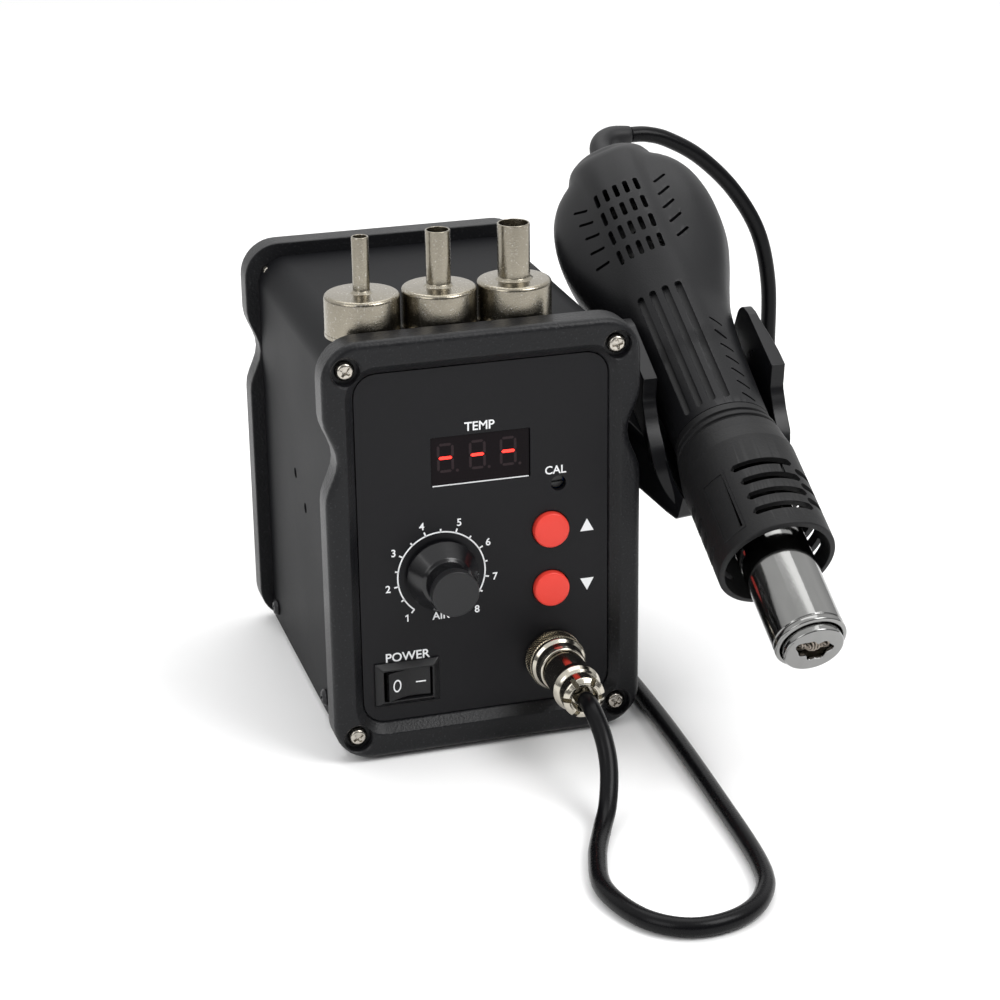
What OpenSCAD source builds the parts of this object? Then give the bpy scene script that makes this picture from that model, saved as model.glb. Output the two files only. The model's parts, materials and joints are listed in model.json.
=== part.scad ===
// Hot air rework station: a small bench case with a front panel, a hand-held blower
// that rests in a holder on the right-hand wall, and three slip-on nozzles on its lid.
// X is to the right, Y to the back, Z up. The origin is on the bench, under the middle of the case.

/* [Case] */
// Width of the front and rear bezels
body_w = 100; // [96:1:110]
// Height of the case from the bench to the top of the bezels
body_h = 138; // [136:1:145]
// Depth of the case over both bezels
body_d = 126; // [124:1:140]
// Thickness of each bezel from front to back
bezel_t = 10; // [9:0.5:11]
// Corner radius of the bezels
bezel_r = 12; // [10:1:13]
// Depth of the wavy hollow in each side of a bezel
scallop_depth = 4; // [2:0.5:5]
// Thickness of the cover and chassis sheet
sheet_t = 1.2; // [1:0.1:1.6]

/* [Controls] */
// Diameter of the red buttons
button_d = 11.4; // [10:0.2:12]
// Travel of a button
button_travel = 1; // [0.5:0.1:1.2]
// Diameter of the skirt of the air knob
knob_d = 23; // [20:0.5:24]
// Height of the air knob over the panel
knob_h = 16.5; // [14:0.5:20]
// Tilt of the power rocker to each side
rocker_tilt = 9; // [6:1:10]

/* [Handpiece] */
// Slope of the handpiece in its holder, nose down
hp_pitch = 28; // [24:1:32]
// Roll of the handpiece towards the case
hp_roll = 26; // [0:1:30]
// Outer diameter of the heater tube
tube_d = 22.2; // [22:0.1:22.3]
// Outer diameter of the hand-piece cable
cord_d = 5.6; // [5:0.1:6]

/* [Nozzles] */
// Bore of the nozzle cans
nozzle_bore = 22.4; // [22.4:0.05:22.6]
// Wall of the nozzle cans
nozzle_wall = 0.5; // [0.4:0.05:0.6]
// Height of the nozzle cans
nozzle_can_h = 13; // [11:0.5:15]
// Length of the nozzle tubes over the cans
nozzle_tube_h = 17.5; // [14:0.5:20]

/* [Hidden] */
$fn = 64;

// Case
foot_h = 1.5;
front_y = -body_d / 2;
rear_y = body_d / 2;
inner_y = body_d / 2 - bezel_t;
screw_x = body_w / 2 - 7.5;
screw_low = 8.9;
screw_high = body_h - 8.9;
panel_recess = 3;
panel_t = 2;
panel_y = front_y + panel_recess;
panel_back_y = panel_y + panel_t;
panel_w = 80;
panel_low = 12.5;
panel_high = 127;
panel_r = 7;
cover_w = 91;
cover_low = 3.5;
cover_high = body_h - 4.5;
cover_r = 10;
floor_z = 5;
scallop_z = 101;
scallop_half = 14;
scallop_steps = 20;
screw_d = 3;
head_d = 6.2;

// Controls, as places on the front panel
display_at = [-0.8, 96.7];
display_size = [31.5, 16];
knob_at = [-14, 60];
up_at = [21.3, 70.6];
down_at = [21.3, 50.8];
trimmer_at = [24, 85.5];
rocker_at = [-26, 25.2];
rocker_size = [14, 9.4];
socket_at = [21.5, 27.5];
board_y = -46;
board_t = 1.6;
board_low = 40;
board_high = 120;
stem_end = 5.2;

// Plug and cable
ring_d = 18;
ring_l = 13;
plug_l = 31;
nut_start = 19.5;

// Handpiece: z runs along its axis from the middle of the blower to the nose
hp_at = [80, 22.5, 134];
hp_wall = 2.2;
grip_end = 88;
shroud_end = 141;
tube_start = 100;
tube_end = 172;
split_gap = 0.05;
blower_r = 22;
elbow_r = 8;
relief_l = 10.2;
relief_gap = 0.2;
// Outline of the handle: distance along the axis, radius
handle_outline = [
    [-38, 10.5], [-36.5, 14], [-32, 16], [-28, 20.5], [-20, 24.8], [-10, 27.2], [0, 28], [10, 27],
    [20, 24.6], [30, 21.2], [40, 18.4], [55, 16.8], [75, 16], [grip_end, 15.8],
];
handle_half = 21;
// Screws of the handle: distance along the axis, depth of the seat under the handle's axis
handle_screw_places = [[-14, 19.6], [70, 15]];
holder_r = 19.2;
holder_wall = 3;
holder_start = 41;
holder_end = 101;
holder_screw_s = [44, 59.5];
holder_screw_h = -44.5;

// Mains inlet, as places on the rear panel
inlet_at = [0, 33];
inlet_screw_x = 20;
inlet_pin_places = [[-7, -2], [7, -2], [0, 2]];

// Nozzles
nozzle_x = [-31.8, -7.7, 16.2];
nozzle_y = front_y + 22.6;
nozzle_tube = [5.2, 7.6, 10];

// Route of the cable, from the plug over the bench and round to the tail of the handpiece
cord_route = [
    [21.5, -94.2, 27.5], [21.6, -101, 26.8], [22.2, -109, 21.5], [21.6, -116, 14.5], [18.5, -124, 7],
    [14, -132, 3.4], [8, -146, 3], [4, -164, 3], [9, -182, 3], [20, -191, 3], [34, -190, 3],
    [45, -181, 3], [51, -164, 3], [54, -120, 3], [56, -70, 3], [56, -20, 3], [55, 30, 3], [50, 70, 3],
    [42, 105, 3], [36, 140, 3], [37, 172, 3], [50, 197, 3], [72, 208, 3], [96, 201, 3], [114, 182, 3],
    [127, 155, 3], [136, 126, 3], [141.5, 99, 3.5], [144, 83, 11], [144.5, 77, 20], [145.5, 74, 34],
    [146.5, 72.5, 57], [147, 72, 81], [146.5, 72, 102], [142, 72, 121], [132, 72, 137.5],
    [119, 72, 150.4], [107, 72.1, 157.6], [99, 72.1, 160.1], [93, 72.1, 160.4],
];
cord_sides = 10;
cord_pieces_per_leg = 2;

// ---- helpers ----

module on_front(at) {
    translate([at[0], front_y, at[1]]) rotate([90, 0, 0]) children();
}

module on_rear(at) {
    translate([at[0], rear_y, at[1]]) rotate([90, 0, 180]) children();
}

module hp_frame() {
    translate(hp_at) rotate([90 + hp_pitch, 0, 0]) children();
}

module hp_rolled() {
    hp_frame() rotate([0, 0, hp_roll]) children();
}

module tube(d, bore, h) {
    difference() {
        cylinder(d = d, h = h);
        translate([0, 0, -1]) cylinder(d = bore, h = h + 2);
    }
}

module round_rect(w, h, r) {
    square([w - 2 * r, h], center = true);
    square([w, h - 2 * r], center = true);
    for (sx = [-1, 1], sy = [-1, 1])
        translate([sx * (w / 2 - r), sy * (h / 2 - r)]) circle(r);
}

function scallop(t) = scallop_depth * (1 + cos(180 * t)) / 2;

// Outline of a bezel, seen from the front, with Y up from the bench
module bezel_outline() {
    difference() {
        translate([0, (body_h + foot_h) / 2]) round_rect(body_w, body_h - foot_h, bezel_r);
        for (side = [-1, 1])
            polygon([
                [side * (body_w / 2 + 1), scallop_z - scallop_half],
                for (i = [0 : scallop_steps])
                    let (t = 2 * i / scallop_steps - 1)
                    [side * (body_w / 2 - scallop(t)), scallop_z + t * scallop_half],
                [side * (body_w / 2 + 1), scallop_z + scallop_half],
            ]);
    }
}

module panel_outline(grow) {
    translate([0, (panel_low + panel_high) / 2])
        round_rect(panel_w + 2 * grow, panel_high - panel_low + 2 * grow, panel_r + grow);
}

module corner_places() {
    for (x = [-screw_x, screw_x], z = [screw_low, screw_high])
        translate([x, z, 0]) children();
}

// Bezel in its own frame: Z points out of the case, with the outer face at 0
module bezel() {
    difference() {
        translate([0, 0, -bezel_t]) linear_extrude(bezel_t) bezel_outline();
        translate([0, 0, -panel_recess]) linear_extrude(panel_recess + 1) panel_outline(0.8);
        translate([0, 0, -bezel_t - 1]) linear_extrude(bezel_t + 2) panel_outline(-2.5);
        translate([0, 0, -panel_recess - panel_t - 0.1]) linear_extrude(panel_t + 0.2) panel_outline(0.1);
        corner_places() {
            translate([0, 0, -3]) cylinder(d = 8.4, h = 4);
            translate([0, 0, -bezel_t - 1]) cylinder(d = screw_d + 0.4, h = bezel_t + 2);
        }
    }
}

// Pan head screw with a cross recess; the underside of its head is at 0
module cross_screw(length, head = head_d, shank = screw_d) {
    difference() {
        union() {
            cylinder(d = head, h = 1.3);
            translate([0, 0, 1.3]) cylinder(d1 = head, d2 = head * 0.62, h = 0.7);
            translate([0, 0, -length]) cylinder(d = shank, h = length);
        }
        for (a = [0, 90])
            rotate([0, 0, a]) translate([-head * 0.3, -0.35, 0.9]) cube([head * 0.6, 0.7, 2]);
    }
}

// ---- case ----

module front_bezel() {
    color([0.07, 0.07, 0.075]) on_front([0, 0]) bezel();
}

module rear_bezel() {
    color([0.07, 0.07, 0.075]) on_rear([0, 0]) bezel();
}

module cover_section(shrink) {
    w = cover_w - 2 * shrink;
    top = cover_high - shrink;
    r = cover_r - shrink;
    translate([-w / 2, cover_low]) square([w, top - r - cover_low]);
    translate([-w / 2 + r, cover_low]) square([w - 2 * r, top - cover_low]);
    for (side = [-1, 1])
        translate([side * (w / 2 - r), top - r]) circle(r);
}

module side_screw_places() {
    for (side = [-1, 1], y = [-30, 46])
        translate([side * cover_w / 2, y, 9]) rotate([0, side * 90, 0]) children();
}

// Holder screw places on one wall, in the handpiece's own slope
module holder_screw_places(side) {
    for (s = holder_screw_s)
        translate([0, hp_at[1], hp_at[2]]) rotate([90 + hp_pitch, 0, 0])
            translate([side * cover_w / 2, holder_screw_h, s]) rotate([0, side * 90, 0]) children();
}

module top_cover() {
    color([0.09, 0.09, 0.1]) difference() {
        union() {
            translate([0, inner_y, 0]) rotate([90, 0, 0]) linear_extrude(2 * inner_y)
                difference() {
                    cover_section(0);
                    cover_section(sheet_t);
                    translate([-cover_w / 2 + sheet_t, 0]) square([cover_w - 2 * sheet_t, 20]);
                }
            // Tabs behind the upper bezel screws
            for (y = [-inner_y + sheet_t, inner_y])
                translate([0, y, 0]) rotate([90, 0, 0]) linear_extrude(sheet_t) intersection() {
                    cover_section(sheet_t / 2);
                    for (side = [-1, 1])
                        translate([side * screw_x - 9, screw_high - 10]) square([18, 20]);
                }
        }
        side_screw_places() translate([0, 0, -3]) cylinder(d = screw_d + 0.4, h = 6);
        for (side = [-1, 1])
            holder_screw_places(side) translate([0, 0, -3]) cylinder(d = screw_d + 0.4, h = 6);
        for (y = [-inner_y + 3, inner_y + 1], x = [-screw_x, screw_x])
            translate([x, y, screw_high]) rotate([90, 0, 0]) cylinder(d = screw_d, h = 4);
    }
}

module chassis() {
    w = cover_w - 2 * sheet_t - 0.4;
    color([0.72, 0.73, 0.74]) difference() {
        union() {
            translate([-w / 2, -inner_y, floor_z]) cube([w, 2 * inner_y, sheet_t]);
            for (side = [-1, 1])
                translate([side > 0 ? w / 2 - sheet_t : -w / 2, -inner_y, floor_z])
                    cube([sheet_t, 2 * inner_y, 10]);
            for (y = [-inner_y, inner_y - sheet_t], x = [-w / 2, w / 2 - 12])
                translate([x, y, floor_z]) cube([12, sheet_t, 10]);
        }
        side_screw_places() translate([0, 0, -4]) cylinder(d = screw_d, h = 5);
        for (y = [-inner_y + 3, inner_y + 1], x = [-screw_x, screw_x])
            translate([x, y, screw_low]) rotate([90, 0, 0]) cylinder(d = screw_d, h = 4);
        for (x = [-24 : 12 : 24])
            translate([x - 1.5, -38, floor_z - 1]) cube([3, 26, 3]);
    }
}

module rubber_feet() {
    color([0.05, 0.05, 0.05])
        for (x = [-34, 34], y = [-44, 44])
            translate([x, y, 0]) {
                cylinder(d1 = 11, d2 = 12, h = 1);
                translate([0, 0, 1]) cylinder(d = 12, h = floor_z - 1);
            }
}

module front_panel() {
    color([0.06, 0.06, 0.065]) on_front([0, 0]) difference() {
        translate([0, 0, -panel_recess - panel_t]) linear_extrude(panel_t) panel_outline(0);
        translate([0, 0, -panel_recess - panel_t - 1]) {
            translate([display_at[0] - display_size[0] / 2, display_at[1] - display_size[1] / 2, 0])
                cube([display_size[0], display_size[1], 4]);
            translate([knob_at[0], knob_at[1], 0]) cylinder(d = 7.2, h = 4);
            translate([up_at[0], up_at[1], 0]) cylinder(d = button_d + 0.6, h = 4);
            translate([down_at[0], down_at[1], 0]) cylinder(d = button_d + 0.6, h = 4);
            translate([trimmer_at[0], trimmer_at[1], 0]) cylinder(d = 4.8, h = 4);
            translate([rocker_at[0] - 9.4, rocker_at[1] - 6.4, 0]) cube([18.8, 12.8, 4]);
            translate([socket_at[0], socket_at[1], 0]) cylinder(d = 15.2, h = 4);
        }
    }
}

module rear_panel() {
    color([0.1, 0.1, 0.105]) on_rear([0, 0]) difference() {
        translate([0, 0, -panel_recess - panel_t]) linear_extrude(panel_t) panel_outline(0);
        translate([-13.7, 22.9, -8]) cube([27.4, 20.2, 8]);
        for (x = [-inlet_screw_x, inlet_screw_x])
            translate([x, inlet_at[1], -8]) cylinder(d = screw_d + 0.2, h = 8);
        for (row = [0 : 7])
            translate([-24, 84 + row * 4.4, -8]) cube([48, 2, 8]);
    }
}

module front_screws() {
    color([0.75, 0.75, 0.74]) on_front([0, 0]) corner_places()
        translate([0, 0, -3]) cross_screw(9.5);
}

module rear_screws() {
    color([0.75, 0.75, 0.74]) on_rear([0, 0]) corner_places()
        translate([0, 0, -3]) cross_screw(9.5);
}

module cover_screws() {
    color([0.3, 0.3, 0.31]) side_screw_places() cross_screw(4, 5.6);
}

// ---- front panel controls ----

module display_window() {
    color([0.12, 0.03, 0.03]) on_front(display_at)
        translate([-display_size[0] / 2 + 0.1, -display_size[1] / 2 + 0.1, -panel_recess - panel_t + 0.1])
            cube([display_size[0] - 0.2, display_size[1] - 0.2, 1.2]);
}

module display_module() {
    color([0.1, 0.1, 0.1]) translate([display_at[0] - 15, panel_back_y + 0.2, display_at[1] - 7])
        cube([30, board_y - panel_back_y - 0.2, 14]);
}

module control_board() {
    color([0.1, 0.35, 0.2]) difference() {
        translate([-37, board_y, board_low]) cube([74, board_t, board_high - board_low]);
        for (x = [-34, 34], z = [44, 116])
            translate([x, board_y - 1, z]) rotate([-90, 0, 0]) cylinder(d = 3.2, h = 4);
    }
}

module board_posts() {
    color([0.8, 0.68, 0.35])
        for (x = [-34, 34], z = [44, 116])
            translate([x, panel_back_y, z]) rotate([-90, 0, 0]) {
                cylinder(d = 5.5, h = board_y - panel_back_y, $fn = 6);
                cylinder(d = 3, h = board_y - panel_back_y + 3);
            }
}

module push_switches() {
    for (at = [up_at, down_at])
        translate([at[0], board_y, at[1]]) rotate([90, 0, 0]) {
            color([0.12, 0.12, 0.12]) translate([-3, -3, 0]) cube([6, 6, 3.6]);
            color([0.8, 0.8, 0.8]) translate([0, 0, 3.6]) cylinder(d = 3.4, h = 1.6);
        }
}

// Button: red cap with a rounded rim, a flange behind the panel and a stem
module button(at) {
    color([0.85, 0.16, 0.12]) on_front(at) {
        rotate_extrude()
            difference() {
                union() {
                    translate([0, -panel_recess - panel_t - 1.4]) square([6.8, 1.2]);
                    translate([0, -panel_recess - panel_t - 0.5]) square([button_d / 2, panel_t + 1.5]);
                    translate([0, -panel_recess + 1]) square([button_d / 2 - 1, 1]);
                    translate([button_d / 2 - 1, -panel_recess + 1]) circle(1);
                }
                translate([-3, -20]) square([3, 40]);
            }
        translate([0, 0, -panel_recess - panel_t - stem_end]) cylinder(d = 3, h = stem_end);
    }
}

module up_button() {
    button(up_at);
}

module down_button() {
    button(down_at);
}

// Knob: flared skirt, ribbed grip and flat cap
module air_knob() {
    base = -panel_recess + 0.5;
    grip_d = 14;
    color([0.04, 0.04, 0.045]) on_front(knob_at) difference() {
        union() {
            translate([0, 0, base]) cylinder(d = knob_d, h = 1.2);
            translate([0, 0, base + 1.2]) cylinder(d1 = knob_d, d2 = grip_d, h = 5);
            translate([0, 0, base]) cylinder(d = grip_d, h = knob_h - 1);
            translate([0, 0, base + knob_h - 1]) cylinder(d1 = grip_d, d2 = grip_d - 1.4, h = 0.5);
        }
        translate([0, 0, base - 1]) cylinder(d = 6, h = 11.2);
        translate([0, 0, base - 1]) cylinder(d = 12, h = 3.2);
    }
}

module pot_shaft() {
    color([0.8, 0.8, 0.78]) on_front(knob_at)
        translate([0, 0, -14]) cylinder(d = 6, h = 21.5);
}

module air_pot() {
    on_front(knob_at) difference() {
        union() {
            color([0.75, 0.75, 0.7]) translate([0, 0, -14.5]) cylinder(d = 16.5, h = 9.4);
            color([0.8, 0.8, 0.8]) translate([0, 0, -6]) cylinder(d = 6.9, h = 4.9);
            color([0.8, 0.8, 0.8]) translate([0, 0, -3]) cylinder(d = 10, h = 1.4, $fn = 6);
            color([0.3, 0.2, 0.1]) translate([-7, -14, -14.5]) cube([14, 8, 1.6]);
        }
        translate([0, 0, -14.2]) cylinder(d = 6.1, h = 20);
    }
}

module trimmer_body() {
    color([0.1, 0.25, 0.5]) on_front(trimmer_at) difference() {
        translate([-3.5, -3.5, front_y - board_y]) cube([7, 7, 9]);
        translate([0, 0, front_y - board_y + 3]) cylinder(d = 4.5, h = 7);
    }
}

module trimmer_screw() {
    color([0.15, 0.15, 0.15]) on_front(trimmer_at) difference() {
        translate([0, 0, front_y - board_y + 3.1]) cylinder(d = 4.3, h = 8.6);
        translate([-2.5, -0.4, front_y - board_y + 11]) cube([5, 0.8, 2]);
    }
}

// ---- power switch ----

// Bezel of the switch with sloped rims, and its body behind the panel
module switch_frame() {
    depth = 12;
    color([0.05, 0.05, 0.055]) on_front(rocker_at) difference() {
        union() {
            translate([-9.3, -6.3, -panel_recess - depth]) cube([18.6, 12.6, depth]);
            translate([0, 0, -panel_recess]) linear_extrude(0.8) square([20.8, 14.6], center = true);
            translate([0, 0, -panel_recess + 0.8]) linear_extrude(0.9) square([19.4, 13.2], center = true);
            translate([0, 0, -panel_recess + 1.7]) linear_extrude(0.6) square([17.8, 11.8], center = true);
        }
        translate([0, 0, -panel_recess - depth + 1.5])
            linear_extrude(20) square([rocker_size[0] + 1.6, rocker_size[1] + 0.7], center = true);
    }
}

// Rocker: a shallow V that tilts about its upright pin; at rest its right side is pressed in
module power_rocker() {
    a = rocker_size[0] / 2;
    color([0.05, 0.05, 0.055]) on_front(rocker_at) translate([0, 0, -panel_recess])
        rotate([0, rocker_tilt, 0]) rotate([90, 0, 0])
            translate([0, 0, -rocker_size[1] / 2]) linear_extrude(rocker_size[1])
                polygon([[-a, 2.4], [0, 1.1], [a, 2.4], [a, 0.4], [3, -5], [-3, -5], [-a, 0.4]]);
}

// ---- connector and plug ----

module socket() {
    color([0.7, 0.7, 0.68]) on_front(socket_at) {
        translate([0, 0, -panel_recess - panel_t - 8]) tube(15, 12.6, 15.5);
        translate([0, 0, -panel_recess - panel_t - 8]) cylinder(d = 14, h = 4);
        translate([0, 0, -panel_recess - panel_t - 2]) tube(20, 14.9, 2);
    }
}

module plug_body() {
    color([0.08, 0.08, 0.08]) on_front(socket_at) difference() {
        union() {
            translate([0, 0, -4]) cylinder(d = 12.4, h = 8);
            translate([0, 0, 4]) cylinder(d = 12.8, h = nut_start - 4);
            translate([0, 0, ring_l - panel_recess + 0.6]) cylinder(d = 14.4, h = nut_start - ring_l + 2.4);
        }
        for (a = [0 : 72 : 359])
            rotate([0, 0, a]) translate([3.2, 0, -5]) cylinder(d = 1.2, h = 4);
    }
}

module lock_ring() {
    color([0.75, 0.75, 0.73]) on_front(socket_at) {
        translate([0, 0, -panel_recess + 0.4]) tube(ring_d, 15.4, ring_l - 2);
        translate([0, 0, ring_l - panel_recess - 1.6]) tube(ring_d - 1.6, 13.2, 2);
    }
}

module clamp_nut() {
    color([0.75, 0.75, 0.73]) on_front(socket_at) {
        translate([0, 0, nut_start]) cylinder(d = 15.6, h = 4.5);
        translate([0, 0, nut_start + 4.5]) cylinder(d = 13.6, h = 1);
        translate([0, 0, nut_start + 5.5]) cylinder(d = 14.6, h = plug_l - nut_start - 6.5, $fn = 8);
        translate([0, 0, plug_l - 1]) cylinder(d1 = 13.4, d2 = 10, h = 1);
    }
}

// ---- cable ----

function blend4(a, b, c, d, t) =
    0.5 * (2 * b + (c - a) * t + (2 * a - 5 * b + 4 * c - d) * t * t + (3 * b - a - 3 * c + d) * t * t * t);
function route_at(pts, i) = pts[max(0, min(len(pts) - 1, i))];
function smooth_route(pts, n) = [
    for (i = [0 : len(pts) - 2], j = [0 : n - 1])
        blend4(route_at(pts, i - 1), pts[i], pts[i + 1], route_at(pts, i + 2), j / n),
    pts[len(pts) - 1],
];
function unit(v) = v / norm(v);
function route_dir(pts, i) = unit(route_at(pts, i + 1) - route_at(pts, i - 1));
// A side vector carried along the route without twist
function carried(prev, dir) = unit(prev - (prev * dir) * dir);
function side_vectors(pts, i, prev) =
    i >= len(pts) ? [] :
    let (side = carried(prev, route_dir(pts, i)))
    concat([side], side_vectors(pts, i + 1, side));

module handset_cord() {
    pts = smooth_route(cord_route, cord_pieces_per_leg);
    sides = side_vectors(pts, 0, [1, 0, 0]);
    rings = len(pts);
    verts = [
        for (i = [0 : rings - 1])
            let (dir = route_dir(pts, i), u = sides[i], v = cross(dir, u))
            for (k = [0 : cord_sides - 1])
                let (a = 360 * k / cord_sides)
                pts[i] + cord_d / 2 * (cos(a) * u + sin(a) * v),
    ];
    faces = [
        [for (k = [0 : cord_sides - 1]) k],
        for (i = [0 : rings - 2], k = [0 : cord_sides - 1])
            let (a = i * cord_sides, b = (k + 1) % cord_sides)
            [a + k, a + cord_sides + k, a + cord_sides + b, a + b],
        [for (k = [cord_sides - 1 : -1 : 0]) (rings - 1) * cord_sides + k],
    ];
    color([0.06, 0.06, 0.06]) polyhedron(verts, faces);
}

// ---- inside the case ----

module transformer() {
    translate([-20, 22, floor_z + sheet_t]) {
        color([0.35, 0.35, 0.37]) difference() {
            translate([-22, -15, 0]) cube([44, 30, 38]);
            for (x = [-12, 4])
                translate([x, -16, 8]) cube([8, 32, 22]);
        }
        color([0.8, 0.65, 0.25]) translate([-11.8, -19, 8.2]) cube([23.6, 3.9, 21.6]);
        color([0.8, 0.65, 0.25]) translate([-11.8, 15.1, 8.2]) cube([23.6, 3.9, 21.6]);
    }
}

module main_board() {
    color([0.1, 0.35, 0.2]) {
        translate([5, -38, 14]) cube([36, 84, 1.6]);
        for (x = [9, 37], y = [-34, 42])
            translate([x, y, floor_z + sheet_t]) cylinder(d = 5, h = 14 - floor_z - sheet_t);
    }
    color([0.15, 0.15, 0.5]) translate([14, -24, 15.6]) cylinder(d = 10, h = 16);
}

module heat_sink() {
    color([0.78, 0.79, 0.8]) translate([12, 6, 15.6]) {
        cube([24, 3, 32]);
        for (x = [0 : 5.25 : 21])
            translate([x, 3, 0]) cube([3, 9, 32]);
    }
}

module fuse() {
    color([0.85, 0.9, 0.9]) translate([26, -32, 19]) rotate([-90, 0, 0]) cylinder(d = 5, h = 20);
    color([0.75, 0.7, 0.5])
        for (y = [-32, -16])
            translate([24, y, 15.6]) cube([4, 4, 2]);
}

module mains_inlet() {
    color([0.07, 0.07, 0.07]) on_rear(inlet_at) difference() {
        union() {
            translate([0, 0, -panel_recess]) linear_extrude(2.2) round_rect(48, 22, 4);
            translate([-13.5, -9.9, -panel_recess - 16]) cube([27, 19.8, 16]);
        }
        translate([0, 0, -panel_recess - 13.5]) linear_extrude(20) polygon([
            [-12, -8], [12, -8], [12, 3.5], [7.5, 8], [-7.5, 8], [-12, 3.5]]);
        for (x = [-inlet_screw_x, inlet_screw_x])
            translate([x, 0, -6]) cylinder(d = 3.4, h = 10);
        inlet_pin_shapes(0.02);
    }
}

module inlet_pin_shapes(room) {
    for (at = inlet_pin_places)
        translate([at[0] - 1 - room, at[1] - 2 - room, -panel_recess - 19])
            cube([2 + 2 * room, 4 + 2 * room, 17]);
}

module inlet_pins() {
    color([0.8, 0.8, 0.78]) on_rear(inlet_at) inlet_pin_shapes(0);
}

module inlet_screws() {
    color([0.75, 0.75, 0.74]) on_rear(inlet_at)
        for (x = [-inlet_screw_x, inlet_screw_x])
            translate([x, 0, -panel_recess + 2.2]) cross_screw(3.8, 5.4, screw_d);
}

// ---- holder ----

// Side view of the cup: wings at the back, a waist, and a lip under the shroud
module holder_side() {
    polygon([
        [holder_start, 13], [72, 13], [74, 6], [79, 0.5], [88, -2], [94, -7], [99, -14],
        [holder_end, -18], [holder_end, -24], [holder_start, -24],
    ]);
}

module holder() {
    outer_r = holder_r + holder_wall;
    wall_x = cover_w / 2 - hp_at[0] + 0.05;
    color([0.06, 0.06, 0.065]) hp_frame() difference() {
        union() {
            intersection() {
                translate([0, 0, holder_start]) linear_extrude(holder_end - holder_start) {
                    circle(outer_r);
                    translate([-outer_r, 0]) square([2 * outer_r, 16]);
                }
                rotate([0, -90, 0]) translate([0, 0, -40]) linear_extrude(80) holder_side();
            }
            // Wall plate and the arm that joins it to the cup
            translate([wall_x, 0, 0]) rotate([0, 90, 0]) linear_extrude(3.2)
                translate([-52, -25.5]) round_rect(34, 54, 6);
            translate([wall_x, -19, 42]) cube([22, 16, 20]);
            translate([wall_x, -17, 62]) cube([20, 12, 12]);
        }
        translate([0, 0, holder_start - 5]) cylinder(r = holder_r, h = holder_end);
        translate([-holder_r, 0, holder_start - 5]) cube([2 * holder_r, 30, holder_end]);
        for (s = holder_screw_s)
            translate([wall_x - 1, holder_screw_h, s]) rotate([0, 90, 0]) cylinder(d = 3.4, h = 6);
        translate([0, -outer_r - 1, 86]) rotate([-90, 0, 0]) cylinder(d = 8.1, h = 3);
    }
}

module holder_screws() {
    color([0.3, 0.3, 0.31]) holder_screw_places(1) translate([0, 0, 3.3]) cross_screw(8, 5.8);
}

module holder_magnet() {
    color([0.7, 0.7, 0.72]) hp_frame()
        translate([0, -holder_r - holder_wall, 86]) rotate([-90, 0, 0]) cylinder(d = 8, h = 1.9);
}

// ---- handpiece ----

module handle_solid(inset) {
    first = handle_outline[0][0] + inset;
    last = inset > 0 ? grip_end + 1 : grip_end;
    intersection() {
        rotate_extrude() polygon([
            [0, first],
            for (p = handle_outline) [p[1] - inset, max(first, p[0])],
            [handle_outline[len(handle_outline) - 1][1] - inset, last],
            [0, last],
        ]);
        translate([-40, -handle_half + inset, -60]) cube([80, 2 * (handle_half - inset), 200]);
    }
}

module handle_shell() {
    difference() {
        handle_solid(0);
        handle_solid(hp_wall);
        translate([0, 0, -45]) cylinder(d = 9, h = 12);
    }
}

module handle_top() {
    color([0.07, 0.07, 0.075]) hp_rolled() difference() {
        intersection() {
            handle_shell();
            translate([-40, split_gap, -60]) cube([80, 40, 200]);
        }
        // Intake grid over the blower
        for (row = [0 : 3], col = [-2 : 2])
            translate([col * 3.6 - 1.45, 15, -11.4 + row * 8.8]) cube([1.7, 10, 5.8]);
    }
}

module handle_bottom() {
    color([0.07, 0.07, 0.075]) hp_rolled() difference() {
        intersection() {
            handle_shell();
            translate([-40, -40 - split_gap, -60]) cube([80, 40, 200]);
        }
        for (place = handle_screw_places) {
            translate([0, -30, place[0]]) rotate([-90, 0, 0]) cylinder(d = 3.2, h = 24);
            translate([0, -30, place[0]]) rotate([-90, 0, 0]) cylinder(d = 5.6, h = 30 - place[1]);
        }
    }
}

module handle_screws() {
    color([0.3, 0.3, 0.31]) hp_rolled()
        for (place = handle_screw_places)
            translate([0, -place[1], place[0]]) rotate([90, 0, 0]) cross_screw(7, 5, 2.6);
}

// Strain relief: a short sleeve along the axis and an elbow that turns to the right
module cord_relief() {
    cord_end_x = cord_route[len(cord_route) - 1][0];
    color([0.05, 0.05, 0.05]) hp_frame() translate([0, 0, handle_outline[0][0]]) {
        translate([0, 0, -relief_l]) cylinder(d1 = 9.2, d2 = 11, h = relief_l);
        cylinder(d = 8.8, h = 3);
        translate([0, 0, -relief_l]) rotate([90, 0, 0]) translate([elbow_r, 0, 0])
            rotate([0, 0, 180]) rotate_extrude(angle = 90) translate([elbow_r, 0]) circle(d = 8.6);
        translate([elbow_r, 0, -relief_l - elbow_r]) rotate([0, 90, 0])
            cylinder(d1 = 8.4, d2 = 7, h = cord_end_x - hp_at[0] - elbow_r - relief_gap);
    }
}

module heater_shroud() {
    color([0.06, 0.06, 0.065]) hp_rolled() difference() {
        rotate_extrude() polygon([
            [13, grip_end + 0.1], [15.8, grip_end + 0.1], [16.4, 92], [18, 98], [18.6, 104],
            [18.6, shroud_end], [16.6, shroud_end], [16.6, 104], [16, 99], [13, 93],
        ]);
        for (a = [0, 120, 240], row = [0 : 3])
            rotate([0, 0, a]) translate([-11, 8, 114 + row * 5.9]) cube([22, 14, 2.7]);
        for (a = [60, 180, 300], row = [0 : 2])
            rotate([0, 0, a]) translate([-4, 8, 117 + row * 5.9]) cube([8, 14, 2.7]);
    }
}

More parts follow.
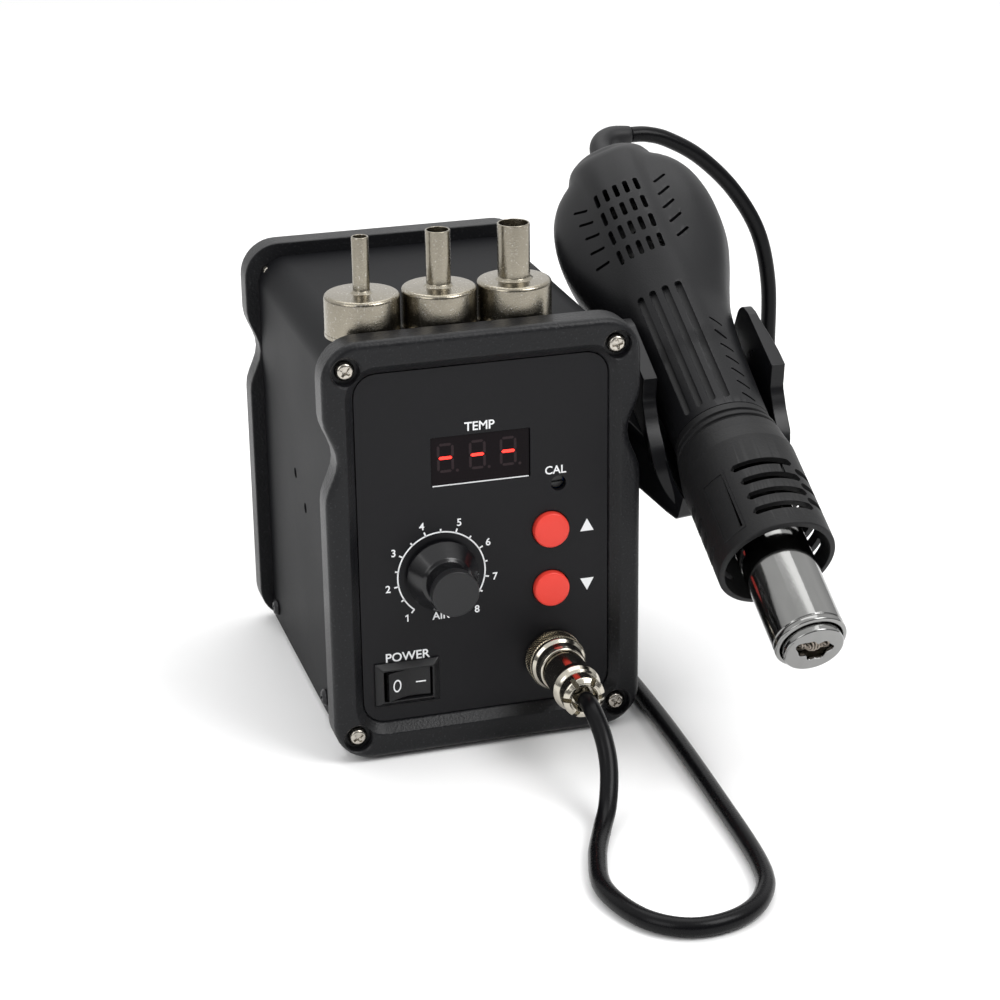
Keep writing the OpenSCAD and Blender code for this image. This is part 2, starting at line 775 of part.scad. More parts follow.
module heater_tube() {
    color([0.75, 0.75, 0.74]) hp_frame() {
        translate([0, 0, tube_start]) tube(tube_d, tube_d - 1.2, tube_end - tube_start);
        translate([0, 0, 94]) tube(26, tube_d - 1.2, 6);
    }
}

module heater_core() {
    color([0.75, 0.68, 0.5]) hp_frame() {
        translate([0, 0, 97]) cylinder(d = 10, h = 66);
        for (s = [104 : 5 : 160])
            translate([0, 0, s]) cylinder(d = 15, h = 2.4);
        translate([0, 0, 97]) cylinder(d = tube_d - 1.6, h = 2);
    }
}

module heater_nose() {
    color([0.75, 0.75, 0.74]) hp_frame() difference() {
        union() {
            translate([0, 0, tube_end - 4]) cylinder(d = tube_d - 1.2, h = 4);
            translate([0, 0, tube_end]) cylinder(d = 18.6, h = 2.6);
        }
        translate([0, 0, tube_end - 5]) cylinder(d = 17.4, h = 6.6);
        for (a = [0 : 72 : 359])
            rotate([0, 0, a]) translate([3.6, 0, tube_end]) cylinder(d = 3, h = 4);
        translate([0, 0, tube_end]) cylinder(d = 3.6, h = 4);
    }
}

module blower_housing() {
    color([0.1, 0.1, 0.1]) hp_rolled() rotate([90, 0, 0]) {
        translate([0, 0, -7]) difference() {
            union() {
                cylinder(r = blower_r, h = 14);
                translate([-9, 8, 0]) cube([18, 30, 14]);
            }
            translate([0, 0, 1.5]) cylinder(r = blower_r - 1.5, h = 11);
            translate([0, 0, -1]) cylinder(r = 12, h = 16);
            translate([-7.5, 14, 1.5]) cube([15, 30, 11]);
        }
        translate([0, 0, -7]) tube(6, 2.1, 3);
        for (a = [45 : 120 : 359])
            rotate([0, 0, a]) translate([2, -0.6, -6.9]) cube([10.6, 1.2, 1.3]);
    }
}

module blower_rotor() {
    color([0.12, 0.12, 0.12]) hp_rolled() rotate([90, 0, 0]) {
        translate([0, 0, -6.5]) cylinder(d = 2, h = 11);
        translate([0, 0, -3.8]) cylinder(r = 8, h = 8.4);
        translate([0, 0, -3.8]) tube(2 * 18.4, 15.8, 1);
        for (a = [0 : 22.5 : 359])
            rotate([0, 0, a]) translate([12.5, -0.4, -3.2]) rotate([0, 0, 25]) cube([6, 0.9, 7.4]);
    }
}

module reed_switch() {
    color([0.3, 0.6, 0.5]) hp_rolled()
        translate([0, -11.4, 78]) cylinder(d = 2.6, h = 8);
}

// ---- nozzles ----

// Slip-on nozzle standing on its open end: a can, a rounded shoulder and an outlet tube
module nozzle(i) {
    can_r = nozzle_bore / 2 + nozzle_wall;
    tube_r = nozzle_tube[i] / 2;
    soft = 1.2;
    color([0.8, 0.79, 0.76]) translate([nozzle_x[i], nozzle_y, cover_high + 0.05]) difference() {
        union() {
            cylinder(r = can_r, h = nozzle_can_h - soft);
            translate([0, 0, nozzle_can_h - soft]) cylinder(r = can_r - soft, h = soft);
            translate([0, 0, nozzle_can_h - soft])
                rotate_extrude() translate([can_r - soft, 0]) circle(soft);
            cylinder(r = tube_r, h = nozzle_can_h + nozzle_tube_h);
            translate([0, 0, nozzle_can_h]) cylinder(r1 = tube_r + 1, r2 = tube_r, h = 1.2);
        }
        translate([0, 0, -1]) cylinder(d = nozzle_bore, h = nozzle_can_h + 1 - nozzle_wall - 0.4);
        translate([0, 0, 1]) cylinder(r = tube_r - 0.45, h = 60);
    }
}

module nozzle_small() {
    nozzle(0);
}

module nozzle_medium() {
    nozzle(1);
}

module nozzle_large() {
    nozzle(2);
}

front_bezel();
rear_bezel();
top_cover();
chassis();
rubber_feet();
front_panel();
rear_panel();
front_screws();
rear_screws();
cover_screws();
display_window();
display_module();
control_board();
board_posts();
push_switches();
up_button();
down_button();
air_knob();
pot_shaft();
air_pot();
trimmer_body();
trimmer_screw();
switch_frame();
power_rocker();
socket();
plug_body();
lock_ring();
clamp_nut();
handset_cord();
transformer();
main_board();
heat_sink();
fuse();
mains_inlet();
inlet_pins();
inlet_screws();
holder();
holder_screws();
holder_magnet();
handle_top();
handle_bottom();
handle_screws();
cord_relief();
heater_shroud();
heater_tube();
heater_core();
heater_nose();
blower_housing();
blower_rotor();
reed_switch();
nozzle_small();
nozzle_medium();
nozzle_large();
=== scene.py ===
"""Looks of a bench hot air station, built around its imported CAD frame.

Lengths in the piece builders are millimetres in a local frame; settle() turns them into metres
in the shared frame, where X is to the right, Y to the back and Z up.
"""

import json
import math

import bmesh
import bpy
from mathutils import Matrix, Vector


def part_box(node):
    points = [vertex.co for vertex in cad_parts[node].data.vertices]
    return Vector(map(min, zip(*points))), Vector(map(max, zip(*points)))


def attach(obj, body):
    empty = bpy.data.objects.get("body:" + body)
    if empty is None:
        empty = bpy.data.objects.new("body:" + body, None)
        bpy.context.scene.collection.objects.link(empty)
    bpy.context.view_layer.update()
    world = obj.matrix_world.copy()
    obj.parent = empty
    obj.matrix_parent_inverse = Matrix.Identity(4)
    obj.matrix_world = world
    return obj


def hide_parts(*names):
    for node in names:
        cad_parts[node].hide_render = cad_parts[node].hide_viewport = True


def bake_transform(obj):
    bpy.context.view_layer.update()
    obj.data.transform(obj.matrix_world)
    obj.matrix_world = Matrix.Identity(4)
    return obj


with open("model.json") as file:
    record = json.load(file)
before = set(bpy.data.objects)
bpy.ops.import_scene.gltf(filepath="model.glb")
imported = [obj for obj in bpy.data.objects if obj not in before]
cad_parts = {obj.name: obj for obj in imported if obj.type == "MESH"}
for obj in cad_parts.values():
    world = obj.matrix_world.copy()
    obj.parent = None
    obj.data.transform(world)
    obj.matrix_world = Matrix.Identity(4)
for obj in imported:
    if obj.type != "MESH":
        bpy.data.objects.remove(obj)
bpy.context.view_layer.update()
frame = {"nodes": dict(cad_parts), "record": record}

bl_info = {
    "name": "Hot air station",
    "version": (1, 0, 0),
    "blender": (4, 5, 0),
    "location": "View3D > Sidebar > Station",
    "description": "Builds a bench hot air station around its CAD frame",
    "category": "Object",
}

MM = 0.001
FRONT_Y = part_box("front_bezel")[0].y / MM
REAR_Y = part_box("rear_bezel")[1].y / MM
CASE_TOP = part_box("front_bezel")[1].z / MM
CASE_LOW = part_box("front_bezel")[0].z / MM
CASE_W = 2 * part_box("front_bezel")[1].x / MM
COVER_W = 2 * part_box("top_cover")[1].x / MM
COVER_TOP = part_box("top_cover")[1].z / MM
COVER_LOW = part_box("top_cover")[0].z / MM
COVER_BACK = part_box("top_cover")[1].y / MM
BEZEL_T = 10.0
PANEL_W = 80.0
PANEL_LOW = 12.5
PANEL_HIGH = 127.0
PANEL_R = 7.0
PANEL_FACE = -3.0
PANEL_BACK = -5.0
SCREW_X = 42.5
SCREW_ROWS = (8.9, 129.1)
SHEET_T = 1.2
PRINT_T = 0.03
HOLLOW_MIDDLE = 101
HOLLOW_HALF = 14
COVER_SCREW_ROWS = (-30, 46)
COVER_SCREW_Z = 9

DISPLAY = (-0.8, 96.7)
KNOB = (-14.0, 60.0)
BUTTONS = {"up": (21.3, 70.6), "down": (21.3, 50.8)}
TRIMMER = (24.0, 85.5)
ROCKER = (-26.0, 25.2)
SOCKET = (21.5, 27.5)
NOZZLES = {"small": (-31.8, 5.2), "medium": (-7.7, 7.6), "large": (16.2, 10.0)}
NOZZLE_Y = -40.4
NOZZLE_BORE_R = 11.2
NOZZLE_BODIES = {"small": "nozzle_a", "medium": "nozzle_b", "large": "nozzle_c"}

HANDPIECE = Vector((80.0, 22.5, 134.0))
PITCH = math.radians(28)
ROLL = math.radians(26)
TAIL = -38.0
GRIP_END = 88.0
SHROUD_END = 141.0
TUBE_END = 172.0
TUBE_R = 11.1
HOLDER_SCREW_ROWS = (44, 59.5)
HOLDER_SCREW_DROP = -44.5
HANDLE_SCREWS = ((-14, 15.2), (70, 15))

# Camera: its place in metres, and its azimuth, elevation and roll in degrees
CAMERA_AT = (-0.19857, -0.76146, 0.36637)
CAMERA_TURN = (16.19, 21.26, -0.79)

# Route of the cable in metres, from the clamp nut over the bench to the relief of the handpiece
CORD_ROUTE = [
    (0.0215, -0.0942, 0.0275), (0.0216, -0.101, 0.0268), (0.0222, -0.109, 0.0215),
    (0.0216, -0.116, 0.0145), (0.0185, -0.124, 0.007), (0.014, -0.132, 0.0034),
    (0.008, -0.146, 0.003), (0.004, -0.164, 0.003), (0.009, -0.182, 0.003),
    (0.020, -0.191, 0.003), (0.034, -0.190, 0.003), (0.045, -0.181, 0.003),
    (0.051, -0.164, 0.003), (0.054, -0.120, 0.003), (0.056, -0.070, 0.003),
    (0.056, -0.020, 0.003), (0.055, 0.030, 0.003), (0.050, 0.070, 0.003),
    (0.042, 0.105, 0.003), (0.036, 0.140, 0.003), (0.037, 0.172, 0.003),
    (0.050, 0.197, 0.003), (0.072, 0.208, 0.003), (0.096, 0.201, 0.003),
    (0.114, 0.182, 0.003), (0.127, 0.155, 0.003), (0.136, 0.126, 0.003),
    (0.1415, 0.099, 0.0035), (0.144, 0.083, 0.011), (0.1445, 0.077, 0.020),
    (0.1455, 0.074, 0.034), (0.1465, 0.0725, 0.057), (0.147, 0.072, 0.081),
    (0.1465, 0.072, 0.102), (0.142, 0.072, 0.121), (0.132, 0.072, 0.1375),
    (0.119, 0.072, 0.1504), (0.107, 0.0721, 0.1576), (0.099, 0.0721, 0.1601),
    (0.093, 0.0721, 0.1604),
]


# ---- sizes and colours that a user would change ----


class StationStage(bpy.types.PropertyGroup):
    """Camera, floor and lights"""

    lens: bpy.props.FloatProperty(
        name="Lens", description="Focal length of the camera", default=91.786, min=20, unit="CAMERA"
    )
    key_power: bpy.props.FloatProperty(
        name="Key light", description="Power of the light over the right shoulder", default=8, min=0,
        unit="POWER",
    )
    fill_power: bpy.props.FloatProperty(
        name="Fill light", description="Power of the light on the left", default=3, min=0, unit="POWER"
    )
    surround: bpy.props.FloatProperty(
        name="Surround", description="Brightness of the surroundings overhead", default=1.1, min=0
    )
    floor_colour: bpy.props.FloatVectorProperty(
        name="Floor", description="Colour of the bench", default=(0.92, 0.92, 0.92), subtype="COLOR",
        min=0, max=1,
    )


class StationCase(bpy.types.PropertyGroup):
    """Bezels, cover and panels"""

    edge_round: bpy.props.FloatProperty(
        name="Edge rounding", description="Radius of the outer edge of a bezel", default=0.0022,
        min=0.0005, max=0.003, unit="LENGTH",
    )
    corner_round: bpy.props.FloatProperty(
        name="Corner radius", description="Corner radius of a bezel", default=0.012, min=0.008,
        max=0.014, unit="LENGTH",
    )
    hollow_depth: bpy.props.FloatProperty(
        name="Side hollow", description="Depth of the wavy hollow in the sides", default=0.004,
        min=0, max=0.005, unit="LENGTH",
    )
    plastic: bpy.props.FloatVectorProperty(
        name="Case plastic", description="Colour of the bezels", default=(0.0060, 0.0062, 0.0072),
        subtype="COLOR", min=0, max=1,
    )
    paint: bpy.props.FloatVectorProperty(
        name="Cover paint", description="Colour of the cover", default=(0.0070, 0.0072, 0.0082),
        subtype="COLOR", min=0, max=1,
    )


class StationControls(bpy.types.PropertyGroup):
    """Knob, buttons, display, switch and connector"""

    knob_ribs: bpy.props.IntProperty(
        name="Knob ribs", description="Number of ribs round the grip of the knob", default=48, min=12,
        max=90,
    )
    knurl_ribs: bpy.props.IntProperty(
        name="Knurl ribs", description="Number of ribs each way round the lock ring", default=66,
        min=20, max=120,
    )
    button_colour: bpy.props.FloatVectorProperty(
        name="Buttons", description="Colour of the buttons", default=(0.74, 0.052, 0.036),
        subtype="COLOR", min=0, max=1,
    )
    glow: bpy.props.FloatProperty(
        name="Display glow", description="Strength of the lit segments", default=2.4, min=0
    )


class StationHandpiece(bpy.types.PropertyGroup):
    """Handle, shroud, tube and cable"""

    grip_grooves: bpy.props.IntProperty(
        name="Grip grooves", description="Number of long grooves in the grip", default=4, min=1, max=6
    )
    groove_pitch: bpy.props.FloatProperty(
        name="Groove pitch", description="Distance between the long grooves", default=0.0044,
        min=0.003, max=0.006, unit="LENGTH",
    )
    wall: bpy.props.FloatProperty(
        name="Wall", description="Wall of the handle shells", default=0.002, min=0.001, max=0.003,
        unit="LENGTH",
    )
    plastic: bpy.props.FloatVectorProperty(
        name="Handle plastic", description="Colour of the handle", default=(0.0060, 0.0061, 0.0070),
        subtype="COLOR", min=0, max=1,
    )
    cord_diameter: bpy.props.FloatProperty(
        name="Cable diameter", description="Outer diameter of the cable", default=0.0056, min=0.004,
        max=0.007, unit="LENGTH",
    )


# ---- frames ----


def on_front(x=0.0, z=0.0):
    """Local frame on the front face: X to the right, Y up, Z out of the case."""
    return Matrix.Translation((x, FRONT_Y, z)) @ Matrix.Rotation(math.radians(90), 4, "X")


def on_rear(x=0.0, z=0.0):
    """Local frame on the rear face: Y up, Z out of the case."""
    return (
        Matrix.Translation((x, REAR_Y, z))
        @ Matrix.Rotation(math.radians(180), 4, "Z")
        @ Matrix.Rotation(math.radians(90), 4, "X")
    )


def along_handpiece(roll=0.0):
    """Local frame of the handpiece: Z along it to the nose, Y out of the holder."""
    return (
        Matrix.Translation(HANDPIECE)
        @ Matrix.Rotation(math.radians(90) + PITCH, 4, "X")
        @ Matrix.Rotation(roll, 4, "Z")
    )


# ---- mesh helpers, in millimetres ----


def fillet(corners, steps=5, closed=True):
    """Outline through corners (x, y, radius), each turned into an arc of that radius."""
    out = []
    count = len(corners)
    for i, (x, y, radius) in enumerate(corners):
        here = Vector((x, y))
        if radius <= 0 or (not closed and i in (0, count - 1)):
            out.append((x, y))
            continue
        before = (Vector(corners[i - 1][:2]) - here).normalized()
        after = (Vector(corners[(i + 1) % count][:2]) - here).normalized()
        half = before.angle(after) / 2
        centre = here + (before + after).normalized() * (radius / math.sin(half))
        first = here + before * (radius / math.tan(half)) - centre
        last = here + after * (radius / math.tan(half)) - centre
        start = math.atan2(first.y, first.x)
        turn = math.atan2(last.y, last.x) - start
        turn = (turn + math.pi) % (2 * math.pi) - math.pi
        for k in range(steps + 1):
            a = start + turn * k / steps
            out.append((centre.x + radius * math.cos(a), centre.y + radius * math.sin(a)))
    return out


def loft(rings, capped=True, joined=False):
    """Mesh of quads through rings with the same number of points; joined closes it end to end."""
    bm = bmesh.new()
    rows = [[bm.verts.new(p) for p in ring] for ring in rings]
    count = len(rows[0])
    pairs = list(zip(rows, rows[1:]))
    if joined:
        pairs.append((rows[-1], rows[0]))
    for low, high in pairs:
        for k in range(count):
            m = (k + 1) % count
            bm.faces.new((low[k], low[m], high[m], high[k]))
    if capped and not joined:
        bm.faces.new(rows[0][::-1])
        bm.faces.new(rows[-1])
    return bm


def strip(rows):
    """Open sheet of quads through rows with the same number of points."""
    bm = bmesh.new()
    made = [[bm.verts.new(p) for p in row] for row in rows]
    for low, high in zip(made, made[1:]):
        for k in range(len(low) - 1):
            bm.faces.new((low[k], low[k + 1], high[k + 1], high[k]))
    return bm


def lathe(profile, steps=72):
    """Solid of revolution about Z from a profile of (radius, height)."""
    turns = [2 * math.pi * k / steps for k in range(steps)]
    rings = [[(r * math.cos(a), r * math.sin(a), z) for a in turns] for r, z in profile]
    hollow = profile[0][0] > 0.01
    return loft(rings, capped=False, joined=hollow)


def prism(outline, low, high):
    """Straight solid on an outline between two heights."""
    return loft([[(x, y, low) for x, y in outline], [(x, y, high) for x, y in outline]])


def box_mesh(size, centre=(0, 0, 0)):
    """Box of a size about a centre."""
    bm = bmesh.new()
    bmesh.ops.create_cube(bm, size=1, matrix=Matrix.Translation(centre) @ Matrix.Diagonal((*size, 1)))
    return bm


def rounded_box(width, height, radius, centre=(0, 0)):
    """Outline of a rectangle with round corners."""
    x, y = centre
    return fillet([
        (x + width / 2, y + height / 2, radius), (x - width / 2, y + height / 2, radius),
        (x - width / 2, y - height / 2, radius), (x + width / 2, y - height / 2, radius),
    ])


def moved(bm, matrix):
    """The same mesh after a move."""
    bm.transform(matrix)
    return bm


def joined(parts):
    """One mesh of several."""
    bm = bmesh.new()
    for part in parts:
        mesh = bpy.data.meshes.new("part")
        part.to_mesh(mesh)
        part.free()
        bm.from_mesh(mesh)
        bpy.data.meshes.remove(mesh)
    return bm


def solid(name, bm):
    """An object from a mesh, with its doubles merged and its faces turned outwards."""
    bmesh.ops.remove_doubles(bm, verts=bm.verts, dist=0.0005)
    bmesh.ops.recalc_face_normals(bm, faces=bm.faces)
    mesh = bpy.data.meshes.new(name)
    bm.to_mesh(mesh)
    bm.free()
    made = bpy.data.objects.new(name, mesh)
    bpy.context.scene.collection.objects.link(made)
    return made


def apply_modifiers(thing):
    """Turns what the modifiers make into a plain mesh."""
    evaluated = thing.evaluated_get(bpy.context.evaluated_depsgraph_get())
    mesh = bpy.data.meshes.new_from_object(evaluated)
    old = thing.data
    thing.modifiers.clear()
    thing.data = mesh
    mesh.name = old.name
    bpy.data.meshes.remove(old)
    return thing


def cut(thing, cutter, operation="DIFFERENCE"):
    """Cuts a closed shape out of another, and removes the cutter."""
    modifier = thing.modifiers.new("cut", "BOOLEAN")
    modifier.operation = operation
    modifier.solver = "EXACT"
    modifier.use_self = True
    modifier.object = cutter
    apply_modifiers(thing)
    bpy.data.objects.remove(cutter)
    return thing


def soften(thing, width, segments=2, angle=30):
    """Rounds the edges that are sharper than an angle."""
    modifier = thing.modifiers.new("soften", "BEVEL")
    modifier.width = width
    modifier.segments = segments
    modifier.limit_method = "ANGLE"
    modifier.angle_limit = math.radians(angle)
    modifier.use_clamp_overlap = True
    return apply_modifiers(thing)


def settle(thing, place, material, body, stands_for=(), sharp=35, weighted=True):
    """Puts a finished shape in its place in the shared frame, with its material and its body."""
    thing.data.transform(Matrix.Scale(MM, 4) @ place)
    thing.data.materials.clear()
    thing.data.materials.append(material)
    thing.data.polygons.foreach_set("material_index", [0] * len(thing.data.polygons))
    thing.data.shade_smooth()
    thing.data.set_sharp_from_angle(angle=math.radians(sharp))
    if weighted:
        modifier = thing.modifiers.new("weighted", "WEIGHTED_NORMAL")
        modifier.keep_sharp = True
        modifier.weight = 80
        apply_modifiers(thing)
    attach(thing, body)
    if stands_for:
        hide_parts(*stands_for)
    return thing


# ---- geometry node trees for what repeats ----


def new_tree(name, sockets):
    """An empty geometry tree with named inputs."""
    tree = bpy.data.node_groups.new(name, "GeometryNodeTree")
    tree.interface.new_socket("Geometry", in_out="INPUT", socket_type="NodeSocketGeometry")
    for label, kind in sockets:
        tree.interface.new_socket(label, in_out="INPUT", socket_type=kind)
    tree.interface.new_socket("Geometry", in_out="OUTPUT", socket_type="NodeSocketGeometry")
    return tree


def end_tree(tree, inputs, geometry):
    """Realize Instances and Set Material, then the output."""
    realize = tree.nodes.new("GeometryNodeRealizeInstances")
    finish = tree.nodes.new("GeometryNodeSetMaterial")
    output = tree.nodes.new("NodeGroupOutput")
    tree.links.new(geometry, realize.inputs[0])
    tree.links.new(realize.outputs[0], finish.inputs["Geometry"])
    tree.links.new(inputs.outputs["Material"], finish.inputs["Material"])
    tree.links.new(finish.outputs[0], output.inputs[0])


def ring_tree():
    """Copies of a shape round the Z axis, joined to the mesh that comes in."""
    tree = new_tree("ring_of_copies", [
        ("Shape", "NodeSocketObject"), ("Count", "NodeSocketInt"), ("Radius", "NodeSocketFloat"),
        ("Height", "NodeSocketFloat"), ("Material", "NodeSocketMaterial"),
    ])
    inputs = tree.nodes.new("NodeGroupInput")
    circle = tree.nodes.new("GeometryNodeMeshCircle")
    lift = tree.nodes.new("GeometryNodeTransform")
    raise_by = tree.nodes.new("ShaderNodeCombineXYZ")
    index = tree.nodes.new("GeometryNodeInputIndex")
    step = tree.nodes.new("ShaderNodeMath")
    step.operation = "DIVIDE"
    step.inputs[0].default_value = 2 * math.pi
    turn = tree.nodes.new("ShaderNodeMath")
    turn.operation = "MULTIPLY"
    spin = tree.nodes.new("ShaderNodeCombineXYZ")
    shape = tree.nodes.new("GeometryNodeObjectInfo")
    copies = tree.nodes.new("GeometryNodeInstanceOnPoints")
    both = tree.nodes.new("GeometryNodeJoinGeometry")
    link = tree.links.new
    link(inputs.outputs["Count"], circle.inputs["Vertices"])
    link(inputs.outputs["Radius"], circle.inputs["Radius"])
    link(circle.outputs["Mesh"], lift.inputs["Geometry"])
    link(inputs.outputs["Height"], raise_by.inputs["Z"])
    link(raise_by.outputs[0], lift.inputs["Translation"])
    link(inputs.outputs["Count"], step.inputs[1])
    link(index.outputs[0], turn.inputs[0])
    link(step.outputs[0], turn.inputs[1])
    link(turn.outputs[0], spin.inputs["Z"])
    link(inputs.outputs["Shape"], shape.inputs["Object"])
    link(lift.outputs["Geometry"], copies.inputs["Points"])
    link(shape.outputs["Geometry"], copies.inputs["Instance"])
    link(spin.outputs[0], copies.inputs["Rotation"])
    link(copies.outputs[0], both.inputs[0])
    link(inputs.outputs["Geometry"], both.inputs[0])
    end_tree(tree, inputs, both.outputs[0])
    return tree


def points_tree():
    """A copy of a shape on each point, turned by the point's own turn and by a fixed random spin."""
    tree = new_tree("copies_at_points", [
        ("Shape", "NodeSocketObject"), ("Spin", "NodeSocketFloat"), ("Seed", "NodeSocketInt"),
        ("Material", "NodeSocketMaterial"),
    ])
    inputs = tree.nodes.new("NodeGroupInput")
    turn = tree.nodes.new("GeometryNodeInputNamedAttribute")
    turn.data_type = "FLOAT_VECTOR"
    turn.inputs["Name"].default_value = "turn"
    chance = tree.nodes.new("FunctionNodeRandomValue")
    chance.data_type = "FLOAT"
    spin = tree.nodes.new("ShaderNodeCombineXYZ")
    shape = tree.nodes.new("GeometryNodeObjectInfo")
    copies = tree.nodes.new("GeometryNodeInstanceOnPoints")
    spun = tree.nodes.new("GeometryNodeRotateInstances")
    link = tree.links.new
    link(inputs.outputs["Spin"], chance.inputs[3])
    link(inputs.outputs["Seed"], chance.inputs["Seed"])
    link(chance.outputs[1], spin.inputs["Z"])
    link(inputs.outputs["Shape"], shape.inputs["Object"])
    link(inputs.outputs["Geometry"], copies.inputs["Points"])
    link(shape.outputs["Geometry"], copies.inputs["Instance"])
    link(turn.outputs["Attribute"], copies.inputs["Rotation"])
    link(copies.outputs[0], spun.inputs["Instances"])
    link(spin.outputs[0], spun.inputs["Rotation"])
    end_tree(tree, inputs, spun.outputs[0])
    return tree


TREES = {}


def with_tree(thing, maker, values):
    """Runs a geometry tree on an object and turns the result into a plain mesh."""
    if maker.__name__ not in TREES:
        TREES[maker.__name__] = maker()
    tree = TREES[maker.__name__]
    modifier = thing.modifiers.new("repeat", "NODES")
    modifier.node_group = tree
    for item in tree.interface.items_tree:
        if item.item_type == "SOCKET" and item.in_out == "INPUT" and item.name in values:
            modifier[item.identifier] = values[item.name]
    return apply_modifiers(thing)


def ring_of(thing, shape, count, radius, height, material):
    """Adds a ring of copies of a shape to an object, and removes the shape."""
    with_tree(thing, ring_tree, {
        "Shape": shape, "Count": count, "Radius": radius, "Height": height, "Material": material,
    })
    bpy.data.objects.remove(shape)
    return thing


def copies_at(name, shape, places, material, spin=0.0, seed=1):
    """Copies of a shape at places given as matrices, as one object."""
    mesh = bpy.data.meshes.new(name)
    mesh.from_pydata([tuple(m.to_translation()) for m in places], [], [])
    turn = mesh.attributes.new("turn", "FLOAT_VECTOR", "POINT")
    turn.data.foreach_set("vector", [v for m in places for v in m.to_euler()])
    made = bpy.data.objects.new(name, mesh)
    bpy.context.scene.collection.objects.link(made)
    with_tree(made, points_tree, {"Shape": shape, "Spin": spin, "Seed": seed, "Material": material})
    bpy.data.objects.remove(shape)
    return made


# ---- materials ----


def finish_of(name, colour, roughness, metallic=0.0, grain=2200.0, depth=0.00002, vary=0.15,
              patch=60.0, rough_vary=0.08, stretch=(1, 1, 1), specular=0.5, speckle=0.0,
              emission=0.0):
    """A finish with slow colour patches, a fine grain in its roughness and a bump of real depth."""
    name = "finish_" + name
    if name in bpy.data.materials:
        return bpy.data.materials[name]
    material = bpy.data.materials.new(name)
    material.use_nodes = True
    nodes = material.node_tree.nodes
    link = material.node_tree.links.new
    shader = nodes["Principled BSDF"]
    shader.inputs["Metallic"].default_value = metallic
    shader.inputs["Specular IOR Level"].default_value = specular
    place = nodes.new("ShaderNodeTexCoord")
    mapping = nodes.new("ShaderNodeMapping")
    mapping.inputs["Scale"].default_value = stretch
    link(place.outputs["Object"], mapping.inputs["Vector"])
    patches = nodes.new("ShaderNodeTexNoise")
    patches.inputs["Scale"].default_value = patch
    patches.inputs["Detail"].default_value = 4
    fine = nodes.new("ShaderNodeTexNoise")
    fine.inputs["Scale"].default_value = grain
    fine.inputs["Detail"].default_value = 3
    link(mapping.outputs["Vector"], patches.inputs["Vector"])
    link(mapping.outputs["Vector"], fine.inputs["Vector"])
    tint = nodes.new("ShaderNodeMix")
    tint.data_type = "RGBA"
    tint.inputs["A"].default_value = (*[c * (1 - vary) for c in colour], 1)
    tint.inputs["B"].default_value = (*[min(1, c * (1 + vary)) for c in colour], 1)
    link(patches.outputs["Fac"], tint.inputs["Factor"])
    shown = tint.outputs["Result"]
    if speckle > 0:
        dots = nodes.new("ShaderNodeMapRange")
        dots.inputs["From Min"].default_value = 0.60
        dots.inputs["From Max"].default_value = 0.72
        dots.inputs["To Max"].default_value = speckle
        light = nodes.new("ShaderNodeMix")
        light.data_type = "RGBA"
        light.inputs["B"].default_value = (*[min(1, 5 * c + 0.02) for c in colour], 1)
        link(fine.outputs["Fac"], dots.inputs["Value"])
        link(dots.outputs["Result"], light.inputs["Factor"])
        link(shown, light.inputs["A"])
        shown = light.outputs["Result"]
    link(shown, shader.inputs["Base Color"])
    rough = nodes.new("ShaderNodeMapRange")
    rough.inputs["To Min"].default_value = max(0.02, roughness - rough_vary)
    rough.inputs["To Max"].default_value = min(1, roughness + rough_vary)
    mixed = nodes.new("ShaderNodeMath")
    mixed.operation = "MULTIPLY_ADD"
    mixed.inputs[1].default_value = 0.4
    link(fine.outputs["Fac"], mixed.inputs[0])
    half = nodes.new("ShaderNodeMath")
    half.operation = "MULTIPLY"
    half.inputs[1].default_value = 0.6
    link(patches.outputs["Fac"], half.inputs[0])
    link(half.outputs[0], mixed.inputs[2])
    link(mixed.outputs[0], rough.inputs["Value"])
    link(rough.outputs["Result"], shader.inputs["Roughness"])
    bump = nodes.new("ShaderNodeBump")
    bump.inputs["Strength"].default_value = 1.0
    bump.inputs["Distance"].default_value = depth
    link(fine.outputs["Fac"], bump.inputs["Height"])
    link(bump.outputs["Normal"], shader.inputs["Normal"])
    if emission > 0:
        shader.inputs["Emission Color"].default_value = (*colour, 1)
        shader.inputs["Emission Strength"].default_value = emission
    return material


def case_plastic():
    colour = tuple(bpy.context.scene.station_case.plastic)
    return finish_of("case_plastic", colour, 0.38, grain=1300, depth=0.00014, rough_vary=0.14,
                     speckle=0.35, specular=0.24)


def cover_paint():
    colour = tuple(bpy.context.scene.station_case.paint)
    return finish_of("cover_paint", colour, 0.50, grain=1900, depth=0.00003, patch=25,
                     specular=0.06)


def panel_print():
    return finish_of("panel_print", (0.0045, 0.0044, 0.0056), 0.40, grain=2600, depth=0.00002,
                     speckle=0.06, specular=0.2)


# White of the printed marks; the same white also paints the highlight strip in the display opening.
def print_white():
    return finish_of("print_white", (0.80, 0.81, 0.82), 0.5, grain=3000, depth=0.00001, vary=0.04)


def screw_nickel():
    return finish_of("screw_nickel", (0.46, 0.43, 0.38), 0.24, metallic=1, grain=900, vary=0.18,
                     depth=0.00001, rough_vary=0.1)


def bright_nickel():
    return finish_of("bright_nickel", (0.50, 0.47, 0.40), 0.16, metallic=1, grain=1600, vary=0.09,
                     depth=0.000012, rough_vary=0.07, patch=90)


def nozzle_nickel():
    return finish_of("nozzle_nickel", (0.28, 0.255, 0.205), 0.24, metallic=1, grain=1700, vary=0.22,
                     depth=0.00004, rough_vary=0.12, patch=120, speckle=0.35)


def polished_tube():
    return finish_of("polished_tube", (0.24, 0.24, 0.235), 0.10, metallic=1, grain=500, vary=0.12,
                     depth=0.000008, rough_vary=0.06, patch=70, stretch=(4, 1, 1))


